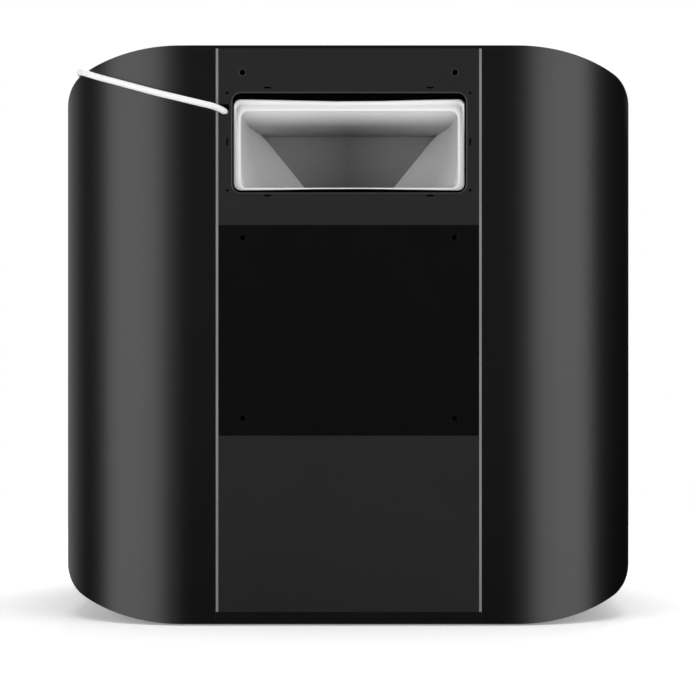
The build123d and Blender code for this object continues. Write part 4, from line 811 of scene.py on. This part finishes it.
# ------------------------ fans
def fan(centre, direction, depth, hub, tip, count, pitch):
    """Axial rotor: a turned hub, and blades as closed loops. Along a blade the chord widens
    with the radius, and the pitch falls by a third from hub to tip; round the loop the two
    faces lie half a thickness either side of a bowed chord."""
    side, up, along = axes_along(direction)
    patches = [lathe([(0, -depth / 2), (hub - 1, -depth / 2), (hub, -depth / 2 + 1),
                      (hub, depth / 2 - 0.5), (hub - 0.6, depth / 2), (0, depth / 2)],
                     centre, direction, 48)]
    turn = np.arange(16) * TAU / 16
    radius = np.linspace(hub - 0.6, tip, 9)
    share = (radius - radius[0]) / (tip - radius[0])
    chord = depth * (0.8 + 0.12 * share)
    lean = np.radians(pitch * (1.25 - 0.4 * share))
    run = np.cos(turn)[None, :] * chord[:, None] / 2
    bow = (1 - (2 * run / chord[:, None]) ** 2) * 0.12 * chord[:, None]
    lift = np.sin(turn)[None, :] * 0.45 + bow
    high = run * np.cos(lean)[:, None] + lift * np.sin(lean)[:, None]
    wide = run * np.sin(lean)[:, None] - lift * np.cos(lean)[:, None]
    for blade in range(count):
        angle = blade * TAU / count + wide / radius[:, None] + 0.25 * share[:, None]
        points = (np.asarray(centre, float) + high[..., None] * along
                  + radius[:, None, None] * (np.cos(angle)[..., None] * side
                                             + np.sin(angle)[..., None] * up))
        patches.append(capped(points))
    return patches


piece("exhaust_fan_blades", fan((0, -142, 248.6), (0, 0, 1), 11.0, 7.5, 17.9, 7, 38),
      "exhaust_rotor", "black_plastic", stands_for=["exhaust_fan_rotor"])
piece("head_fan_blades", fan((0, 43.6, 195.3), (0, 1, 0), 6.4, 6.0, 12.4, 5, 36),
      "head_rotor", "black_plastic", stands_for=["hotend_fan_rotor"])


# ------------------------ motion parts
rods, cups = [], []
for angle in tower_angles.values():
    for side in (-1, 1):
        foot = at_tower(angle, effector_circle, side * pivot_spacing, effector_pivot)
        top = at_tower(angle, pivot_circle, side * pivot_spacing, carriage_pivot)
        run = top - foot
        length = np.linalg.norm(run)
        rods.append(lathe([(0, 9.5), (1.95, 9.5), (1.95, length - 9.5), (0, length - 9.5)],
                          foot, run, 24))
        for place, along in ((foot, run), (top, -run)):
            cups.append(lathe([(0, -3.7), (1.8, -3.4), (3.2, -2.3), (3.75, -0.6), (3.75, 1.4),
                               (3.2, 3.4), (2.7, 5.0), (2.55, 13.0), (2.2, 13.6),
                               (1.9, 13.6), (0, 13.6)], place, along, 32))
piece("arm_rods", rods, "print_head", "carbon", weave, stands_for=["arms"])
piece("arm_joint_cups", cups, "print_head", "black_plastic")


def belt(angle):
    """Toothed loop: a racetrack of two half circles and two straight runs, 1926 stations
    round, whose inner side stands in and out by a flattened sine, one tooth every 2 mm."""
    low, high, radius, half = 28.2, 328.0, 6.75, 2.95
    straight, arc = high - low, np.pi * radius
    total = 2 * (straight + arc)
    place = np.arange(1926) * total / 1926
    runs = [place < arc, (place >= arc) & (place < arc + straight),
            (place >= arc + straight) & (place < total - straight)]
    turn = np.piecewise(place, runs, [lambda s: s / radius, np.pi,
                                      lambda s: (s - straight) / radius, TAU])
    rise = np.piecewise(place, runs, [high, lambda s: high - (s - arc), low,
                                      lambda s: low + (s - (total - straight))])
    tooth = np.clip(2.2 * np.sin(place * TAU / 2.0), -1, 1)
    inner = radius - 0.25 - 0.22 * tooth
    outer = np.full_like(inner, radius + 0.45)
    reach = np.stack([outer, outer, inner, inner], -1)
    width = np.array([-half, half, half, -half])
    outward = outward_of(angle)
    aside = np.array([-outward[1], outward[0], 0.0])
    tangent = reach * np.cos(turn)[:, None]
    level = rise[:, None] + reach * np.sin(turn)[:, None]
    points = (np.array([0.0, delta_y, 0.0]) + (pivot_circle + width)[None, :, None] * outward
              + tangent[..., None] * aside + level[..., None] * np.array([0.0, 0.0, 1.0]))
    return shell(points, ring=True, tube=True)


piece("toothed_belts", [belt(angle) for angle in tower_angles.values()], "casing", "rubber",
      stands_for=["belts"], crease=50)

ring_profile = [(0, 0.02), (1.2, 0.02), (1.3, 0.05), (2.4, 0.05), (2.6, 0.0), (2.6, -0.3),
                (0, -0.3)]
rail_screws = [lathe(ring_profile, at_tower(angle, 114.0, 0.0, level), -outward_of(angle), 20)
               for angle in tower_angles.values() for level in np.arange(142.0, 322.0, 20.0)]
piece("rail_screw_rings", rail_screws, "casing", "steel", screw_black)

for name, angle in tower_angles.items():
    inwards = -outward_of(angle)
    heads = [socket_screw(at_tower(angle, 105.0, aside, carriage_pivot + rise), inwards,
                          2.6, 1.8, 1.3) for aside in (-13.5, 13.5) for rise in (-10, 10)]
    piece("carriage_screws_" + name, heads, "carriage_" + name + "_body", "steel", screw_black)

hot_block = rounded_box((0, delta_y, 165.05), (20, 16, 11.5), 0.7)
nozzle = lathe([(0, 0), (0.45, 0), (0.7, 0.3), (2.7, 2.9), (2.75, 3.3), (3.45, 3.5),
                (3.45, 5.9), (3.2, 6.1), (2.4, 6.2), (2.4, 7.4), (0, 7.4)],
               (0, delta_y, 152.3), (0, 0, 1), 48)
cartridge = [lathe([(0, 0), (2.6, 0), (3.0, 0.4), (3.0, 1.6), (0, 1.6)],
                   (x, delta_y + 8.0, 165.0), (0, 1, 0), 28) for x in (-5.5, 5.5)]
piece("hot_nozzle", [nozzle], "print_head", "brass", stands_for=["heater_block"])
piece("hot_block", [hot_block] + cartridge, "print_head", "aluminium")
print_head_screws = [socket_screw(at_tower(angle + 60, 27.0, aside, 180.3), (0, 0, 1),
                                  2.4, 1.6, 1.2)
                     for angle in tower_angles.values() for aside in (-8, 8)]
piece("effector_screws", print_head_screws, "print_head", "steel", screw_black)


# ------------------------ front
def knob():
    """Turned knob with a knurled grip: its side's radius falls by a fiftieth between 40
    ridges, and its face is dished."""
    def lobes(turn, row):
        """Ridges on the side's rows alone."""
        ridge = 1 - 0.022 * (0.5 - 0.5 * np.cos(40 * turn))
        return np.where((row >= 2) & (row <= 5), ridge, 1.0)
    rows = [(0, 0.1), (12.2, 0.1), (12.9, 0.6), (12.95, 1.4), (12.6, 7.6), (12.3, 8.6),
            (11.8, 9.5), (11.0, 9.95), (10.2, 9.9), (9.0, 9.4), (5.0, 9.15), (0, 9.1)]
    return lathe(rows, (-control_x, front_face + 1.0, fascia_level), (0, 1, 0), 320, lobes)


piece("knurled_knob", [knob(), lathe([(0, -9), (2.9, -9), (2.9, 0.4), (0, 0.4)],
                                     (-control_x, front_face + 1.0, fascia_level),
                                     (0, 1, 0), 32)],
      "knob", "grey_plastic", stands_for=["control_knob"])
piece("knob_pointer", [rounded_box((-control_x, 168.5, fascia_level + 9.3), (1.1, 1.0, 3.6),
                                   0.4)], "knob", "white_plastic", pointer_white)

tick_circle = 17.2
ticks = [rounded_box((-control_x + tick_circle * np.sin(t), front_face + 0.05,
                      fascia_level + tick_circle * np.cos(t)), (0.9, 0.5, 0.9), 0.4, 4)
         for t in np.radians(np.arange(-135, 136, 27))]
piece("knob_scale", ticks, "casing", "white_plastic", pointer_white)


def press_cap():
    """Button's cap: rings of a rounded rectangle that shrink over a domed face."""
    outline, out = rounded_outline(14.0, 9.0, 1.6, 8)
    inset = np.array([0.6, 0.0, 0.0, 0.25, 0.8, 1.8, 3.4])
    high = np.array([-3.6, -3.3, 1.5, 2.0, 2.25, 2.32, 2.2])
    flat = outline[None] - inset[:, None, None] * out[None]
    return capped(in_depth(flat + (control_x, fascia_level), front_face + high[:, None]))


flange = rounded_box((control_x, 153.95, fascia_level), (17.0, 1.5, 12.0), 0.3)
peg = rounded_box((control_x, 150.7, fascia_level), (7.0, 5.2, 4.5), 0.3)
piece("press_cap", [press_cap(), flange, peg], "button", "grey_plastic",
      stands_for=["power_button"])
piece("press_mark", [upright_ring((3.4, 3.4), 1.69, bead(0.55, 0.12),
                                  (control_x, fascia_level), front_face + 2.26, 12)],
      "button", "white_plastic", pointer_white)

for name, size, radius, middle, profile in (
        ("display_bezel", (54.0, 28.0), 1.2, 0,
         [[1.5, 0.0], [1.4, 0.5], [0.9, 0.75], [0.1, 0.5], [0.0, -0.7], [0.1, -2.0],
          [0.8, -2.0], [0.8, -0.2]]),
        ("button_bezel", (14.6, 9.6), 1.8, control_x,
         [[1.2, 0.0], [1.1, 0.4], [0.6, 0.6], [0.1, 0.3], [0.0, -0.6], [0.1, -1.5],
          [0.6, -1.5], [0.6, -0.2]])):
    piece(name, [upright_ring(size, radius, profile, (middle, fascia_level), front_face)],
          "casing", "black_plastic")

gasket_profile = [[0.2, -2.75], [-1.3, -2.7], [-1.7, -2.2], [-1.3, -1.6], [-0.2, -1.2],
                  [0.2, -1.3]]
piece("glass_gasket", [upright_ring((136.0, 242.4), 1.0, gasket_profile, (0, door_level),
                                    front_face, 6)], "door", "rubber")


def bow_handle():
    """Bow handle: a rounded flat bar carried along half a superellipse of the sixth power
    that leaves the door, runs up it and comes back."""
    t = np.linspace(0, np.pi, 64)
    level = door_level - 42.4 * np.sign(np.cos(t)) * np.abs(np.cos(t)) ** (1 / 3)
    out = 157.0 + 12.4 * np.abs(np.sin(t)) ** (1 / 3)
    line = np.stack([np.full_like(t, -74.0), out, level], -1)
    gaps = np.linalg.norm(np.diff(line, axis=0), axis=1)
    along = np.concatenate([[0], np.cumsum(gaps)])
    even = np.linspace(0, along[-1], 120)
    line = np.stack([np.interp(even, along, line[:, k]) for k in range(3)], -1)
    run = np.gradient(line, axis=0)
    run /= np.linalg.norm(run, axis=1, keepdims=True)
    normal = np.cross(run, [1.0, 0.0, 0.0])
    section, _ = rounded_outline(9.6, 4.9, 1.6, 7)
    points = (line[:, None] + section[None, :, :1] * np.array([1.0, 0.0, 0.0])
              + section[None, :, 1:] * normal[:, None])
    return capped(points)


piece("bow_handle", [bow_handle()], "door", "aluminium", stands_for=["door_handle"],
      crease=50)

hinge_caps = [lathe([(0, 0), (2.6, 0), (2.9, 0.2), (2.9, 0.5), (2.2, 1.1), (0, 1.4)],
                    (hinge_x, 161.0, level + 14.3), (0, 0, 1), 32) for level in hinge_levels]
piece("hinge_pin_caps", hinge_caps, "door", "steel")


# ------------------------ floor, light and camera
def pale_floor():
    """Flat disc of rings from the middle to 1.3 m, pale near the printer and clearing to the
    plain background outwards."""
    radius = np.linspace(0.0, 1300.0, 27)
    turn = np.arange(96) * TAU / 96
    points = np.stack([radius[:, None] * np.cos(turn), radius[:, None] * np.sin(turn),
                       np.zeros((27, 96))], -1)
    look = bpy.data.materials.new("pale_floor")
    look.use_nodes = True
    tree = look.node_tree
    tree.nodes.clear()
    place = shade(tree, "TexCoord").outputs["Object"]
    reach = shade(tree, "VectorMath", {0: place}, operation="LENGTH").outputs["Value"]
    clear = shade(tree, "MapRange", {"Value": reach, "From Min": 0.3, "From Max": 0.95},
                  interpolation_type="SMOOTHSTEP").outputs["Result"]
    pale = shade(tree, "BsdfDiffuse", {"Color": grey(0.93)}).outputs[0]
    seen = shade(tree, "LightPath").outputs["Is Camera Ray"]
    lit = shade(tree, "Emission", {"Color": grey(1.0),
                                   "Strength": maths(tree, "MULTIPLY", seen, 0.25)}).outputs[0]
    lifted = shade(tree, "AddShader", {0: pale, 1: lit}).outputs[0]
    through = shade(tree, "BsdfTransparent").outputs[0]
    mixed = shade(tree, "MixShader", {0: clear, 1: lifted, 2: through}).outputs[0]
    shade(tree, "OutputMaterial", {"Surface": mixed})
    made = piece("studio_floor", [shell(points, ring=True)], None, None, look)
    made.visible_glossy = False


pale_floor()


def soft_box(name, place, target, width, height, radiance):
    """Rectangular lamp of that radiance that faces the target; all lengths in metres."""
    lamp = bpy.data.lights.new(name, "AREA")
    lamp.shape = "RECTANGLE"
    lamp.size, lamp.size_y = width, height
    lamp.energy = np.pi * width * height * radiance
    made = added(name, lamp)
    made.location = place
    made.rotation_mode = "QUATERNION"
    made.rotation_quaternion = Vector(np.subtract(target, place)).to_track_quat("-Z", "Y")


for name, side in (("left_box", -1), ("right_box", 1)):
    soft_box(name, (side * 1.44, -1.05, 0.20), (side * 0.13, -0.13, 0.20), 1.72, 1.9, 1.95)
soft_box("top_box", (0.0, -0.35, 1.7), (0.0, 0.0, 0.3), 1.1, 1.1, 2.1)
soft_box("door_box", (0.25, 1.5, 1.0), (0.0, 0.1, 0.15), 1.3, 1.0, 4.5)


def studio_world():
    """White to the eye and through glass; plain grey for diffuse light; in reflections dark
    behind the camera, and pale in two soft caps, one behind the printer towards its left
    and one overhead."""
    world = bpy.data.worlds.new("studio")
    bpy.context.scene.world = world
    world.use_nodes = True
    tree = world.node_tree
    path = shade(tree, "LightPath").outputs
    direction = shade(tree, "TexCoord").outputs["Generated"]
    caps = [between(tree, dot(tree, direction, aim), 0.0, high, start, end)
            for aim, high, start, end in (((-0.45, 0.893, 0.0), 0.45, 0.8, 1.0),
                                          ((0.0, 0.707, 0.707), 0.9, 0.76, 0.95))]
    plain = maths(tree, "MAXIMUM", path["Is Camera Ray"], path["Is Transmission Ray"])
    glossy = maths(tree, "MULTIPLY", path["Is Glossy Ray"], maths(tree, "MAXIMUM", *caps))
    rest = maths(tree, "SUBTRACT", 1.0, path["Is Glossy Ray"])
    rest = maths(tree, "MULTIPLY", rest, 0.48)
    other = maths(tree, "MULTIPLY", maths(tree, "ADD", glossy, rest),
                  maths(tree, "SUBTRACT", 1.0, plain))
    back = tree.nodes["Background"]
    tree.links.new(maths(tree, "ADD", plain, other), back.inputs["Strength"])
    back.inputs["Color"].default_value = grey(1.0)


studio_world()

camera = added("camera", bpy.data.cameras.new("camera"))
camera.data.lens = 135.0
camera.data.sensor_width = 36.0
camera.data.shift_x = 0.016
camera.data.shift_y = -0.0198
camera.data.clip_end = 20.0
camera.location = (-0.007, -1.7795, 0.179)
camera.rotation_euler = (np.pi / 2, 0.0, 0.0)
bpy.context.scene.camera = camera
bpy.context.scene.view_settings.view_transform = "Standard"
